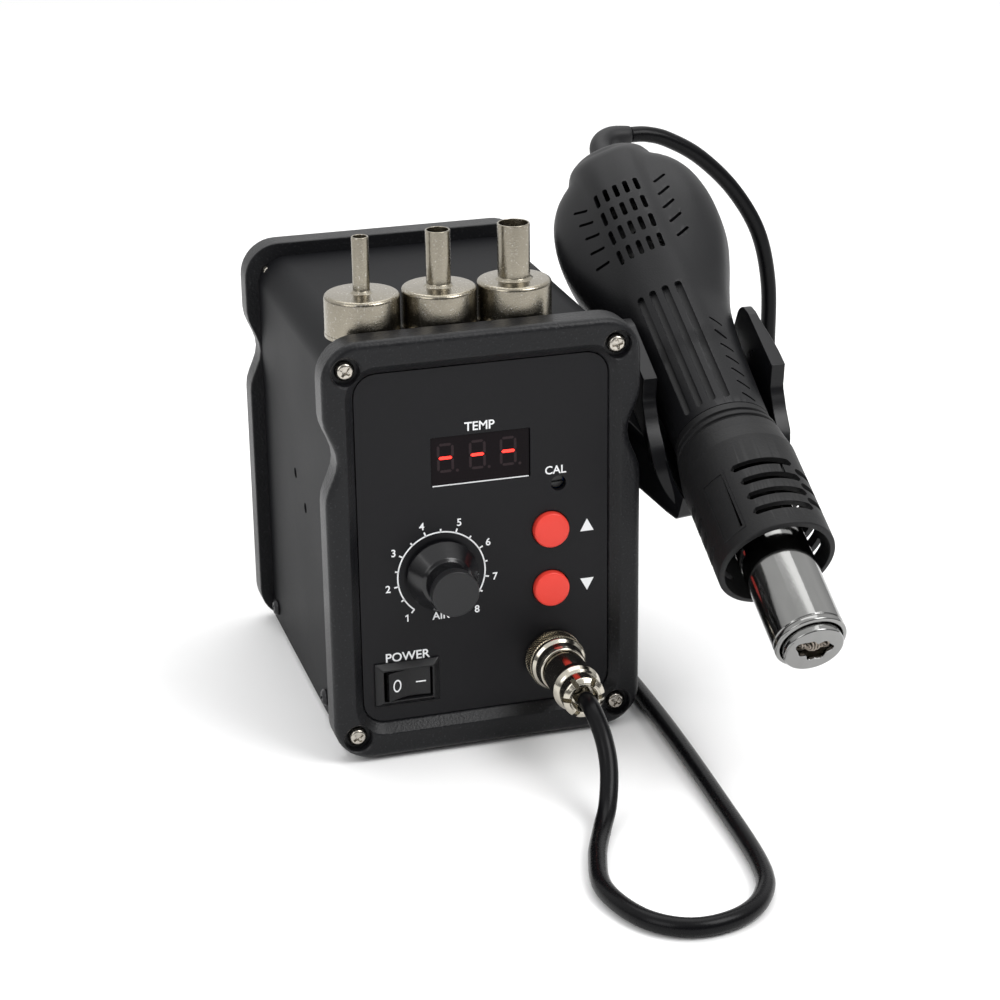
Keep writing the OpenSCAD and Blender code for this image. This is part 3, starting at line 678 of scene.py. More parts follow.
def screw_black():
    return finish_of("screw_black", (0.03, 0.03, 0.032), 0.35, metallic=0.6, grain=1200, vary=0.2)


def switch_black():
    return finish_of("switch_black", (0.0065, 0.0065, 0.0072), 0.34, grain=2400, depth=0.00003,
                     specular=0.3)


def knob_black():
    return finish_of("knob_black", (0.006, 0.006, 0.007), 0.18, grain=2000, depth=0.000006,
                     rough_vary=0.05, specular=0.45)


def knob_cap():
    return finish_of("knob_cap", (0.012, 0.012, 0.013), 0.42, grain=2600, depth=0.00003,
                     specular=0.35)


def button_red():
    colour = tuple(bpy.context.scene.station_controls.button_colour)
    return finish_of("button_red", colour, 0.36, grain=1800, depth=0.00001, vary=0.05,
                     specular=0.3)


def display_glass():
    return finish_of("display_glass", (0.004, 0.002, 0.003), 0.12, grain=600, depth=0.000004,
                     vary=0.3, rough_vary=0.03, specular=0.08)


def segment_dark():
    return finish_of("segment_dark", (0.016, 0.008, 0.010), 0.25, grain=900, depth=0.000004,
                     specular=0.16)


def segment_lit():
    glow = bpy.context.scene.station_controls.glow
    return finish_of("segment_lit", (1.0, 0.022, 0.012), 0.3, vary=0.05, emission=glow)


def holder_plastic():
    return finish_of("holder_plastic", (0.0045, 0.0046, 0.0055), 0.30, grain=900, depth=0.00001,
                     rough_vary=0.07, patch=40, specular=0.22)


def handle_plastic():
    colour = tuple(bpy.context.scene.station_handpiece.plastic)
    return finish_of("handle_plastic", colour, 0.42, grain=2100, depth=0.00004, rough_vary=0.1,
                     specular=0.2)


def shroud_plastic():
    return finish_of("shroud_plastic", (0.0075, 0.0075, 0.008), 0.5, grain=1300, depth=0.00006,
                     rough_vary=0.12, patch=150, specular=0.22)


def relief_rubber():
    return finish_of("relief_rubber", (0.009, 0.009, 0.010), 0.5, grain=1800, depth=0.00003,
                     specular=0.3)


def cord_black():
    return finish_of("cord_black", (0.0028, 0.0028, 0.0034), 0.28, grain=1400, depth=0.00001, patch=35,
                     specular=0.13)


def core_wire():
    return finish_of("core_wire", (0.30, 0.26, 0.22), 0.35, metallic=0.8, grain=1500, vary=0.3)


def inner_finishes():
    """Finish and roughness of each kind of inner piece, by the record's slot."""
    made = {
        "chassis_steel": ((0.58, 0.59, 0.60), 0.32, 1.0), "foot_rubber": ((0.018, 0.018, 0.018), 0.7, 0),
        "display_black": ((0.02, 0.02, 0.02), 0.3, 0), "board_green": ((0.015, 0.11, 0.045), 0.35, 0),
        "post_brass": ((0.74, 0.56, 0.26), 0.28, 1.0), "trimmer_blue": ((0.03, 0.10, 0.42), 0.35, 0),
        "core_iron": ((0.20, 0.20, 0.22), 0.5, 0.7), "sink_alu": ((0.70, 0.71, 0.73), 0.35, 1.0),
        "fuse_glass": ((0.70, 0.75, 0.74), 0.12, 0), "pin_brass": ((0.72, 0.66, 0.50), 0.25, 1.0),
        "magnet": ((0.55, 0.55, 0.57), 0.25, 1.0), "core_mica": ((0.55, 0.46, 0.34), 0.6, 0),
        "blower_plastic": ((0.03, 0.03, 0.03), 0.5, 0), "plug_nickel": ((0.74, 0.71, 0.65), 0.18, 1.0),
        "screw_nickel": ((0.62, 0.60, 0.56), 0.22, 1.0), "knob_black": ((0.02, 0.02, 0.02), 0.4, 0),
    }
    return {
        slot: finish_of("inner_" + slot, colour, roughness, metallic=metallic, vary=0.12)
        for slot, (colour, roughness, metallic) in made.items()
    }


# ---- stage ----


def area_light(name, place, aim, size, power):
    """A soft square light."""
    lamp = bpy.data.lights.new(name, "AREA")
    lamp.energy = power
    lamp.size = size
    holder = bpy.data.objects.new(name, lamp)
    holder.location = place
    holder.rotation_euler = (Vector(aim) - Vector(place)).to_track_quat("-Z", "Y").to_euler()
    bpy.context.scene.collection.objects.link(holder)


def make_stage():
    """Camera, pale floor, soft lights and bright surroundings."""
    sizes = bpy.context.scene.station_stage
    scene = bpy.context.scene
    azimuth, elevation, roll = (math.radians(a) for a in CAMERA_TURN)
    back = Vector((
        -math.sin(azimuth) * math.cos(elevation), -math.cos(azimuth) * math.cos(elevation),
        math.sin(elevation),
    ))
    side = Vector((0, 0, 1)).cross(back).normalized()
    above = back.cross(side)
    right = math.cos(roll) * side + math.sin(roll) * above
    up = math.cos(roll) * above - math.sin(roll) * side
    data = bpy.data.cameras.new("camera")
    data.sensor_width = 36
    data.lens = sizes.lens
    data.clip_start = 0.01
    data.clip_end = 20
    camera = bpy.data.objects.new("camera", data)
    turn = Matrix((right, up, back)).transposed().to_4x4()
    camera.matrix_world = Matrix.Translation(CAMERA_AT) @ turn
    scene.collection.objects.link(camera)
    scene.camera = camera

    bm = bmesh.new()
    bmesh.ops.create_grid(bm, x_segments=2, y_segments=2, size=4)
    floor = solid("floor", bm)
    floor.data.materials.append(
        finish_of("floor_paint", tuple(sizes.floor_colour), 0.9, grain=300, depth=0.00002, vary=0.01,
                  specular=0.0)
    )

    area_light("key", (0.55, -0.65, 0.95), (0.02, 0, 0.07), 0.6, sizes.key_power)
    area_light("fill", (-0.8, -0.6, 0.6), (0.03, 0, 0.07), 0.6, sizes.fill_power)
    area_light("top", (0.1, 0.35, 1.1), (0.03, 0, 0.05), 0.9, sizes.fill_power * 1.6)
    world = bpy.data.worlds.new("surroundings")
    world.use_nodes = True
    nodes = world.node_tree.nodes
    link = world.node_tree.links.new
    nodes["Background"].inputs["Color"].default_value = (1, 1, 1, 1)
    way = nodes.new("ShaderNodeTexCoord")
    height = nodes.new("ShaderNodeVectorMath")
    height.operation = "DOT_PRODUCT"
    height.inputs[1].default_value = (0, 0.42, 0.9)
    bright = nodes.new("ShaderNodeMapRange")
    bright.inputs["From Max"].default_value = 0.6
    bright.inputs["To Min"].default_value = 0.16
    bright.inputs["To Max"].default_value = sizes.surround
    link(way.outputs["Generated"], height.inputs[0])
    link(height.outputs["Value"], bright.inputs["Value"])
    link(bright.outputs["Result"], nodes["Background"].inputs["Strength"])
    scene.world = world
    scene.view_settings.view_transform = "Standard"
    scene.view_settings.look = "None"


# ---- cable ----


def smooth_route(points, steps):
    """Points on a smooth curve through the route."""
    points = [Vector(p) for p in points]
    out = []
    for i in range(len(points) - 1):
        a, b, c = points[max(0, i - 1)], points[i], points[i + 1]
        d = points[min(len(points) - 1, i + 2)]
        for k in range(steps):
            t = k / steps
            out.append(0.5 * (
                2 * b + (c - a) * t + (2 * a - 5 * b + 4 * c - d) * t ** 2
                + (3 * b - a - 3 * c + d) * t ** 3
            ))
    out.append(points[-1])
    return out


def tube_rings(line, radii, sides, start=Vector((1, 0, 0))):
    """Round rings along a line, carried without twist."""
    rings = []
    side = start
    for i, point in enumerate(line):
        ahead = line[min(len(line) - 1, i + 1)] - line[max(0, i - 1)]
        ahead.normalize()
        side = (side - ahead * side.dot(ahead)).normalized()
        other = ahead.cross(side)
        radius = radii[i] if isinstance(radii, list) else radii
        rings.append([
            point + radius * (math.cos(a) * side + math.sin(a) * other)
            for a in (2 * math.pi * k / sides for k in range(sides))
        ])
    return rings


def make_cord():
    """The cable from the plug to the handpiece."""
    diameter = bpy.context.scene.station_handpiece.cord_diameter
    line = smooth_route(CORD_ROUTE, 8)
    rings = tube_rings([p / MM for p in line], diameter / 2 / MM, 20)
    cord = solid("handset_cable", loft(rings))
    cord.data.transform(Matrix.Scale(MM, 4))
    cord.data.materials.append(cord_black())
    cord.data.shade_smooth()
    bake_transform(cord)
    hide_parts("handset_cord")


# ---- case ----


def bezel_ring(width, height, radius, middle, z, hollow=0.0):
    """Ring of a bezel: a rounded rectangle whose sides may have a wavy hollow."""
    corner_steps, side_steps = 10, 40
    corners = [(1, -1, -90), (1, 1, 0), (-1, 1, 90), (-1, -1, 180)]
    points = []
    for k, (sx, sy, start) in enumerate(corners):
        cx = sx * (width / 2 - radius)
        cy = middle + sy * (height / 2 - radius)
        for i in range(corner_steps + 1):
            a = math.radians(start + 90 * i / corner_steps)
            points.append((cx + radius * math.cos(a), cy + radius * math.sin(a)))
        nx, ny, after = corners[(k + 1) % 4]
        a = math.radians(after)
        bx = nx * (width / 2 - radius) + radius * math.cos(a)
        by = middle + ny * (height / 2 - radius) + radius * math.sin(a)
        ax, ay = points[-1]
        for i in range(1, side_steps):
            t = i / side_steps
            points.append((ax + (bx - ax) * t, ay + (by - ay) * t))
    ring = []
    for x, y in points:
        t = (y - HOLLOW_MIDDLE) / HOLLOW_HALF
        if abs(t) < 1 and abs(x) > width / 2 - 1 and hollow > 0:
            x -= math.copysign(hollow * (1 + math.cos(math.pi * t)) / 2, x)
        ring.append((x, y, z))
    return ring


def make_bezel(name, node, place):
    """Bezel: grained frame with a soft outer edge and a chamfered rim round the panel."""
    sizes = bpy.context.scene.station_case
    edge = sizes.edge_round / MM
    radius = sizes.corner_round / MM
    hollow = sizes.hollow_depth / MM
    height = CASE_TOP - CASE_LOW
    middle = (CASE_TOP + CASE_LOW) / 2
    panel_h = PANEL_HIGH - PANEL_LOW
    panel_mid = (PANEL_HIGH + PANEL_LOW) / 2
    outer = [(0.6, -BEZEL_T), (0.18, -BEZEL_T + 0.18), (0, -BEZEL_T + 0.6)]
    for k in range(8):
        a = math.pi / 2 * k / 7
        outer.append((edge * (1 - math.cos(a)), -edge * (1 - math.sin(a))))
    outer.append((edge + 0.3, 0.0))
    rings = [
        bezel_ring(CASE_W - 2 * i, height - 2 * i, radius - i, middle, z, hollow) for i, z in outer
    ]
    inner = [(3.7, 0.0), (3.3, -0.05), (3.0, -0.2), (0.6, -2.5), (0.3, -2.8), (0.15, -3.3),
             (0.1, -5.1), (-2.5, -5.1), (-2.5, -BEZEL_T)]
    rings += [
        bezel_ring(PANEL_W + 2 * g, panel_h + 2 * g, PANEL_R + g, panel_mid, z) for g, z in inner
    ]
    bezel = solid(name, loft(rings, joined=True))
    bore = lathe(fillet([
        (0, 1, 0), (5.0, 1, 0), (5.0, 0.05, 0), (4.35, -0.6, 0.3), (4.2, -3, 0), (1.7, -3, 0),
        (1.7, -BEZEL_T - 1, 0), (0, -BEZEL_T - 1, 0),
    ], steps=3, closed=False), 48)
    places = [Matrix.Translation((x, z, 0)) for x in (-SCREW_X, SCREW_X) for z in SCREW_ROWS]
    cut(bezel, copies_at("bores", solid("bore", bore), places, case_plastic()))
    return settle(bezel, place, case_plastic(), "root", [node])


def cover_outline(inset):
    """Section of the cover from its low left edge over the top to its low right edge."""
    half = COVER_W / 2 - inset
    top = COVER_TOP - inset
    return fillet([
        (-half, COVER_LOW, 0), (-half, top, 10 - inset), (half, top, 10 - inset), (half, COVER_LOW, 0),
    ], steps=12, closed=False)


def make_cover():
    """Folded sheet cover with its screw holes and the spare holder holes."""
    outline = cover_outline(0) + cover_outline(SHEET_T)[::-1]
    cover = solid("cover_sheet", prism(outline, -COVER_BACK, COVER_BACK))
    hole = lathe([(0, -4), (1.7, -4), (1.7, 4), (0, 4)], 32)
    sideways = Matrix.Rotation(math.radians(90), 4, "Y")
    upright = Matrix.Rotation(math.radians(-90), 4, "X")
    places = [
        upright @ Matrix.Translation((side * COVER_W / 2, y, COVER_SCREW_Z)) @ sideways
        for side in (-1, 1) for y in COVER_SCREW_ROWS
    ]
    for side in (-1, 1):
        for s in HOLDER_SCREW_ROWS:
            spot = along_handpiece() @ Vector((0, HOLDER_SCREW_DROP, s))
            places.append(
                upright @ Matrix.Translation((side * COVER_W / 2, spot.y, spot.z)) @ sideways
            )
    cut(cover, copies_at("holes", solid("hole", hole), places, cover_paint()))
    soften(cover, 0.18, angle=50)
    settle(cover, upright.inverted(), cover_paint(), "root", ["top_cover"])


def make_front_panel():
    """Front panel with its openings."""
    middle = (PANEL_LOW + PANEL_HIGH) / 2
    outline = rounded_box(PANEL_W, PANEL_HIGH - PANEL_LOW, PANEL_R, (0, middle))
    panel = solid("front_panel_sheet", prism(outline, PANEL_BACK, PANEL_FACE))
    low, high = PANEL_BACK - 1, PANEL_FACE + 1

    def round_hole(at, diameter):
        hole = lathe([(0, low), (diameter / 2, low), (diameter / 2, high), (0, high)], 56)
        return moved(hole, Matrix.Translation((*at, 0)))

    holes = [
        prism(rounded_box(31.5, 16, 0.5, DISPLAY), low, high),
        prism(rounded_box(18.8, 12.8, 0.4, ROCKER), low, high),
        round_hole(KNOB, 7.2), round_hole(TRIMMER, 4.8), round_hole(SOCKET, 15.2),
    ]
    holes += [round_hole(at, 12.0) for at in BUTTONS.values()]
    cut(panel, solid("holes", joined(holes)))
    soften(panel, 0.2, angle=40)
    settle(panel, on_front(), panel_print(), "root", ["front_panel"])


def text_mesh(words, cap_height, at, bold=0.06):
    """Flat letters as a mesh of real thickness, centred at a place."""
    curve = bpy.data.curves.new("words", "FONT")
    curve.body = words
    curve.size = cap_height / 0.73
    curve.align_x = "CENTER"
    curve.align_y = "CENTER"
    curve.offset = bold * cap_height / 3
    curve.extrude = PRINT_T
    curve.resolution_u = 6
    carrier = bpy.data.objects.new("words", curve)
    bpy.context.scene.collection.objects.link(carrier)
    bpy.context.view_layer.update()
    mesh = bpy.data.meshes.new_from_object(
        carrier.evaluated_get(bpy.context.evaluated_depsgraph_get())
    )
    bpy.data.objects.remove(carrier)
    bm = bmesh.new()
    bm.from_mesh(mesh)
    bpy.data.meshes.remove(mesh)
    return moved(bm, Matrix.Translation((at[0], at[1], 0)))


def arc_band(inner, outer, start, end, steps=80):
    """Flat band of an arc, from one angle to another in degrees."""
    angles = [math.radians(start + (end - start) * k / steps) for k in range(steps + 1)]
    rim = [(outer * math.cos(a), outer * math.sin(a)) for a in angles]
    rim += [(inner * math.cos(a), inner * math.sin(a)) for a in reversed(angles)]
    return prism(rim, -PRINT_T, PRINT_T)


def make_print():
    """Printed words, dial and arrows on the front panel, and a painted highlight: a thin white strip on
    the lower sill of the display opening.
    """
    parts = [
        text_mesh("TEMP", 2.9, (-1.1, 107.1)), text_mesh("CAL", 2.7, (23.0, 89.9)),
        text_mesh("AIR", 2.6, (-14.5, 46.1)), text_mesh("POWER", 3.0, (-25.6, 33.8)),
    ]
    dial = Matrix.Translation((*KNOB, 0))
    parts.append(moved(arc_band(13.75, 14.2, -50, 230), dial))
    for k in range(1, 9):
        angle = math.radians(270 - 40 * k)
        x, z = KNOB[0] + 17.4 * math.cos(angle), KNOB[1] + 17.4 * math.sin(angle)
        if k == 1:
            one = [
                (0.25, -1.2), (0.25, 1.2), (-0.1, 1.2), (-0.7, 0.75), (-0.7, 0.4), (-0.15, 0.65),
                (-0.15, -1.2),
            ]
            parts.append(prism([(x + a, z + b) for a, b in one], -PRINT_T, PRINT_T))
        else:
            parts.append(text_mesh(str(k), 2.45, (x, z)))
    for k in range(15):
        long = 1.5 if k % 2 == 0 else 1.1
        tick = box_mesh((long, 0.5, 0.06), (13.9 + long / 2, 0, 0))
        parts.append(moved(tick, dial @ Matrix.Rotation(math.radians(230 - 20 * k), 4, "Z")))
    for name, way in (("up", 1), ("down", -1)):
        x, z = 33.2, BUTTONS[name][1] - 0.2
        arrow = [(x - 2.2, z - way * 1.9), (x + 2.2, z - way * 1.9), (x, z + way * 2.2)]
        parts.append(prism(arrow, -PRINT_T, PRINT_T))
    # Painted highlight: a thin white strip on the upward-facing lower sill of the display opening, where
    # that edge catches the light.
    parts.append(box_mesh((30.6, 0.28, 0.3), (DISPLAY[0], DISPLAY[1] - 7.8, -0.5)))
    on_panel = Matrix.Translation((0, 0, PANEL_FACE + 0.02))
    marks = solid("panel_marks", moved(joined(parts), on_panel))
    settle(marks, on_front(), print_white(), "root", weighted=False)


# ---- controls ----


def segment(length, width, angle, at):
    """One bar of a digit with pointed ends."""
    half, wide = length / 2, width / 2
    bar = [(-half, 0), (-half + wide, wide), (half - wide, wide), (half, 0), (half - wide, -wide),
           (-half + wide, -wide)]
    spin = Matrix.Translation((*at, 0)) @ Matrix.Rotation(math.radians(angle), 4, "Z")
    return moved(prism(bar, -0.02, 0.02), spin)


def make_display():
    """Smoked window with three digits, whose middle bars are lit."""
    face = PANEL_FACE - 0.7
    outline = rounded_box(31.3, 15.8, 0.4, DISPLAY)
    window = solid("display_filter", prism(outline, face - 1.2, face))
    soften(window, 0.15)
    settle(window, on_front(), display_glass(), "root", ["display_window"])
    dark, lit = [], []
    for x in (-11.8, -1.7, 8.1):
        z = 97.7
        lit.append(segment(4.3, 0.95, 0, (x, z)))
        for dz in (-4.3, 4.3):
            dark.append(segment(3.9, 0.85, 0, (x, z + dz)))
            for dx in (-2.25, 2.25):
                dark.append(segment(3.9, 0.85, 90, (x + dx, z + dz / 2)))
        dot = lathe([(0, -0.02), (0.5, -0.02), (0.5, 0.02), (0, 0.02)], 16)
        dark.append(moved(dot, Matrix.Translation((x + 3.7, z - 4.4, 0))))
    for name, parts, material, lift in (
        ("display_digits", dark, segment_dark(), 0.01), ("display_lit_bars", lit, segment_lit(), 0.02),
    ):
        made = solid(name, moved(joined(parts), Matrix.Translation((0, 0, face + lift))))
        settle(made, on_front(), material, "root", weighted=False)


def make_buttons():
    """Two red buttons with a soft rim and a faint dome."""
    for name, at in BUTTONS.items():
        profile = fillet([
            (0, -0.78, 0), (3.4, -0.84, 2.0), (5.7, -1.0, 0.75), (5.7, -5.5, 0), (6.8, -5.5, 0.2),
            (6.8, -6.4, 0.2), (1.5, -6.4, 0), (1.5, -10.2, 0.2), (0, -10.2, 0),
        ], steps=6, closed=False)
        button = solid(f"{name}_button_cap", lathe(profile, 72))
        settle(button, on_front(*at), button_red(), f"{name}_key", [f"{name}_button"],
               weighted=False)


def make_knob():
    """Air knob: glossy flared skirt, ribbed grip and a flat cap."""
    base = PANEL_FACE + 0.5
    top = 14.0
    skirt = fillet([
        (3.02, base + 10, 0), (3.02, base + 2.2, 0), (6, base + 2.2, 0), (6, base, 0),
        (11.3, base, 0.25), (11.5, base + 1.5, 0.5), (7.9, base + 6.2, 1.0), (6.75, base + 6.9, 0.6),
        (6.75, top - 3.6, 0.2), (6.5, top - 3.2, 0.2), (6.5, base + 10, 0),
    ], steps=5, closed=False)
    knob = solid("air_knob_skirt", lathe(skirt, 96))
    rib = solid("rib", prism(
        fillet([(-0.2, -0.24, 0), (0.34, -0.12, 0.1), (0.34, 0.12, 0.1), (-0.2, 0.24, 0)], 3),
        base + 6.4, top - 3.4,
    ))
    ribs = bpy.context.scene.station_controls.knob_ribs
    ring_of(knob, rib, ribs, 6.7, 0.0, knob_black())
    settle(knob, on_front(*KNOB), knob_black(), "knob", ["air_knob"])
    cap = fillet([
        (0, base + 10.1, 0), (6.45, base + 10.1, 0), (6.45, top - 4.0, 0.2), (7.35, top - 3.4, 0.3),
        (7.35, top, 0.5), (0, top, 0),
    ], steps=5, closed=False)
    settle(solid("air_knob_cap", lathe(cap, 96)), on_front(*KNOB), knob_cap(), "knob")


def make_switch():
    """Switch frame with sloped rims, and the rocker with its two marks."""
    rings = [
        ((18.6, 12.6), -15), ((18.6, 12.6), PANEL_FACE), ((20.8, 14.6), PANEL_FACE),
        ((20.8, 14.6), PANEL_FACE + 0.5), ((20.4, 14.2), PANEL_FACE + 0.75),
        ((16.9, 11.2), PANEL_FACE + 2.2), ((16.5, 10.8), PANEL_FACE + 2.3),
        ((15.7, 10.2), PANEL_FACE + 2.3), ((15.6, 10.1), PANEL_FACE + 2.1),
        ((15.6, 10.1), -13.5), ((0.2, 0.2), -13.5),
    ]

    def ring(size, z):
        return [(x, y, z) for x, y in rounded_box(*size, min(0.4, size[1] / 3))]

    housing = solid("switch_rim", loft([ring(size, z) for size, z in rings]))
    soften(housing, 0.1, angle=35)
    settle(housing, on_front(*ROCKER), switch_black(), "root", ["switch_frame"])

    half, wide = 7.0, 9.4
    outline = [(-half, 2.5)]
    outline += [(x, 1.15 + 1.35 * (abs(x) / half) ** 1.6) for x in (-5, -3, -1.2, 0, 1.2, 3, 5)]
    outline += [(half, 2.5), (half, 0.4), (3, -5), (-3, -5), (-half, 0.4)]
    rocker = solid("rocker_paddle", prism(outline, -wide / 2, wide / 2))
    soften(rocker, 0.22, segments=3, angle=28)
    tilt = (
        on_front(*ROCKER) @ Matrix.Translation((0, 0, PANEL_FACE))
        @ Matrix.Rotation(math.radians(9), 4, "Y")
    )
    upright = Matrix.Rotation(math.radians(90), 4, "X")
    settle(rocker, tilt @ upright, switch_black(), "rocker", ["power_rocker"])
    turns = [2 * math.pi * k / 40 for k in range(40)]
    ring_mark = loft([
        [(a * math.cos(t), b * math.sin(t), z) for t in turns]
        for a, b, z in ((1.5, 2.1, -0.03), (1.5, 2.1, 0.03), (1.05, 1.62, 0.03), (1.05, 1.62, -0.03))
    ], joined=True)
    slope = math.atan2(1.35, half) * 0.95
    marks = [
        moved(ring_mark, Matrix.Translation((-4.0, 0, 1.80)) @ Matrix.Rotation(slope, 4, "Y")),
        moved(box_mesh((3.2, 0.42, 0.06)),
              Matrix.Translation((4.0, 0, 1.80)) @ Matrix.Rotation(-slope, 4, "Y")),
    ]
    settle(solid("rocker_marks", joined(marks)), tilt, print_white(), "rocker",
           weighted=False)


# ---- connector ----


def make_connector():
    """Knurled lock ring, plug barrel and castellated clamp nut."""
    base = PANEL_FACE + 0.4
    ring = lathe(fillet([
        (7.7, base, 0.1), (8.9, base, 0.2), (8.9, 4.6, 0.8), (7.9, 5.6, 0.5), (7.7, 7.6, 0.5),
        (7.3, 9.0, 0.6), (6.62, 9.2, 0.2), (6.62, 7.6, 0), (7.3, 7.0, 0),
    ], 4), 96)
    ring = solid("lock_ring_sleeve", ring)
    count = bpy.context.scene.station_controls.knurl_ribs
    for lean in (-32, 32):
        rib = moved(box_mesh((0.34, 0.3, 5.6)), Matrix.Rotation(math.radians(lean), 4, "X"))
        ring_of(ring, solid("rib", rib), count, 8.87, base + 3.5, bright_nickel())
    settle(ring, on_front(*SOCKET), bright_nickel(), "ring", ["lock_ring"],
           weighted=False)

    barrel = lathe(fillet([
        (0, -4, 0), (6.2, -4, 0.2), (6.2, 3.8, 0), (6.4, 4, 0), (6.4, 10.6, 0), (6.9, 10.9, 0.2),
        (6.9, 20.5, 0.4), (0, 20.5, 0),
    ], 4, closed=False), 80)
    settle(solid("plug_barrel", barrel), on_front(*SOCKET), bright_nickel(), "root",
           ["plug_body"], weighted=False)

    nut = lathe(fillet([
        (2.9, 21, 0), (6.6, 19.6, 0.2), (7.4, 19.8, 0.4), (7.7, 22.6, 0.6), (7.0, 24.0, 0.5),
        (6.3, 24.8, 0.3), (6.5, 25.4, 0.3), (6.7, 29.6, 0.7), (5.2, 30.7, 0.6), (4.2, 30.7, 0.3),
        (3.6, 27.4, 0.3), (2.9, 27.2, 0),
    ], 4), 96)
    nut = solid("clamp_nut_jaws", nut)
    notch = solid("notch", box_mesh((4.4, 1.5, 5.0), (0, 0, 0)))
    carrier = solid("notches", box_mesh((0.2, 0.2, 0.2), (0, 0, 40)))
    cut(nut, ring_of(carrier, notch, 6, 6.6, 30.0, bright_nickel()))
    soften(nut, 0.16, angle=40)
    settle(nut, on_front(*SOCKET), bright_nickel(), "root", ["clamp_nut"])


# ---- screws ----


def cross_screw(head, shank, length):
    """Pan head screw with a cross recess; the underside of its head is at 0."""
    high = 0.32 * head
    screw = solid("screw", lathe(fillet([
        (0, -length, 0), (shank / 2 - 0.3, -length, 0), (shank / 2, -length + 0.5, 0),
        (shank / 2, 0, 0), (head / 2 - 0.05, 0, 0.1), (head / 2, high * 0.35, high * 0.3),
        (head * 0.36, high * 0.92, head * 0.2), (0, high, 0),
    ], 4, closed=False), 40))
    arm = box_mesh((head * 0.56, head * 0.13, high), (0, 0, high))
    other = box_mesh((head * 0.13, head * 0.56, high), (0, 0, high))
    hub = box_mesh((head * 0.22, head * 0.22, high * 1.3), (0, 0, high))
    cut(screw, solid("cross", joined([arm, other, hub])))
    return soften(screw, head * 0.012, angle=40)


def make_screws():
    """Every row of screws, each row one piece."""
    corners = [(x, z) for x in (-SCREW_X, SCREW_X) for z in SCREW_ROWS]
    sunk = Matrix.Translation((0, 0, -3))
    sideways = {side: Matrix.Rotation(math.radians(90 * side), 4, "Y") for side in (-1, 1)}
    rolled = along_handpiece(ROLL)
    out = Matrix.Rotation(math.radians(90), 4, "X")
    rows = {
        "front_screw_heads": ("front_screws", "root", (6.2, 3, 9.5), screw_nickel(), "screw_nickel",
                              [on_front(x, z) @ sunk for x, z in corners]),
        "rear_screw_heads": ("rear_screws", "root", (6.2, 3, 9.5), screw_nickel(), "screw_nickel",
                             [on_rear(x, z) @ sunk for x, z in corners]),
        "cover_screw_heads": ("cover_screws", "root", (5.6, 3, 4), screw_black(), "screw_black", [
            Matrix.Translation((side * COVER_W / 2, y, COVER_SCREW_Z)) @ sideways[side]
            for side in (-1, 1) for y in COVER_SCREW_ROWS]),
        "inlet_screw_heads": ("inlet_screws", "root", (5.4, 3, 3.8), screw_nickel(), "screw_nickel",
                              [on_rear(x, 33) @ Matrix.Translation((0, 0, -0.8)) for x in (-20, 20)]),
        "holder_screw_heads": ("holder_screws", "root", (5.8, 3, 8), screw_black(), "screw_black", [
            along_handpiece()
            @ Matrix.Translation((COVER_W / 2 - HANDPIECE.x, HOLDER_SCREW_DROP, s))
            @ sideways[1] @ Matrix.Translation((0, 0, 3.3)) for s in HOLDER_SCREW_ROWS]),
        "handle_screw_heads": ("handle_screws", "handpiece", (5, 2.6, 7), screw_black(), "screw_black",
                               [rolled @ Matrix.Translation((0, -depth, s)) @ out
                                for s, depth in HANDLE_SCREWS]),
    }
    for name, (node, body, size, material, slot, places) in rows.items():
        screw = cross_screw(*size)
        made = copies_at(name, screw, places, material, spin=math.pi / 2, seed=len(name))
        settle(made, Matrix.Identity(4), material, body, [node], weighted=False)


# ---- holder ----


def front_edge(height):
    """How far along the handpiece the cup reaches at a height over its axis."""
    steps = [(-23, 101.0), (-18, 100.6), (-14, 98.8), (-7, 93.6), (-2, 87.5), (1, 80.5), (6, 74.5),
             (13, 72.0)]
    if height <= steps[0][0]:
        return steps[0][1]
    for (h0, s0), (h1, s1) in zip(steps, steps[1:]):
        if height <= h1:
            t = (height - h0) / (h1 - h0)
            return s0 + (s1 - s0) * (t * t * (3 - 2 * t) * 0.35 + t * 0.65)
    return steps[-1][1]


def back_edge(height):
    """Where the cup starts at a height; its upper corner is round."""
    rise = max(0.0, height - 6.0) / 7.0
    return 41 + 7 * (1 - math.sqrt(max(0.0, 1 - min(1, rise) ** 2)))


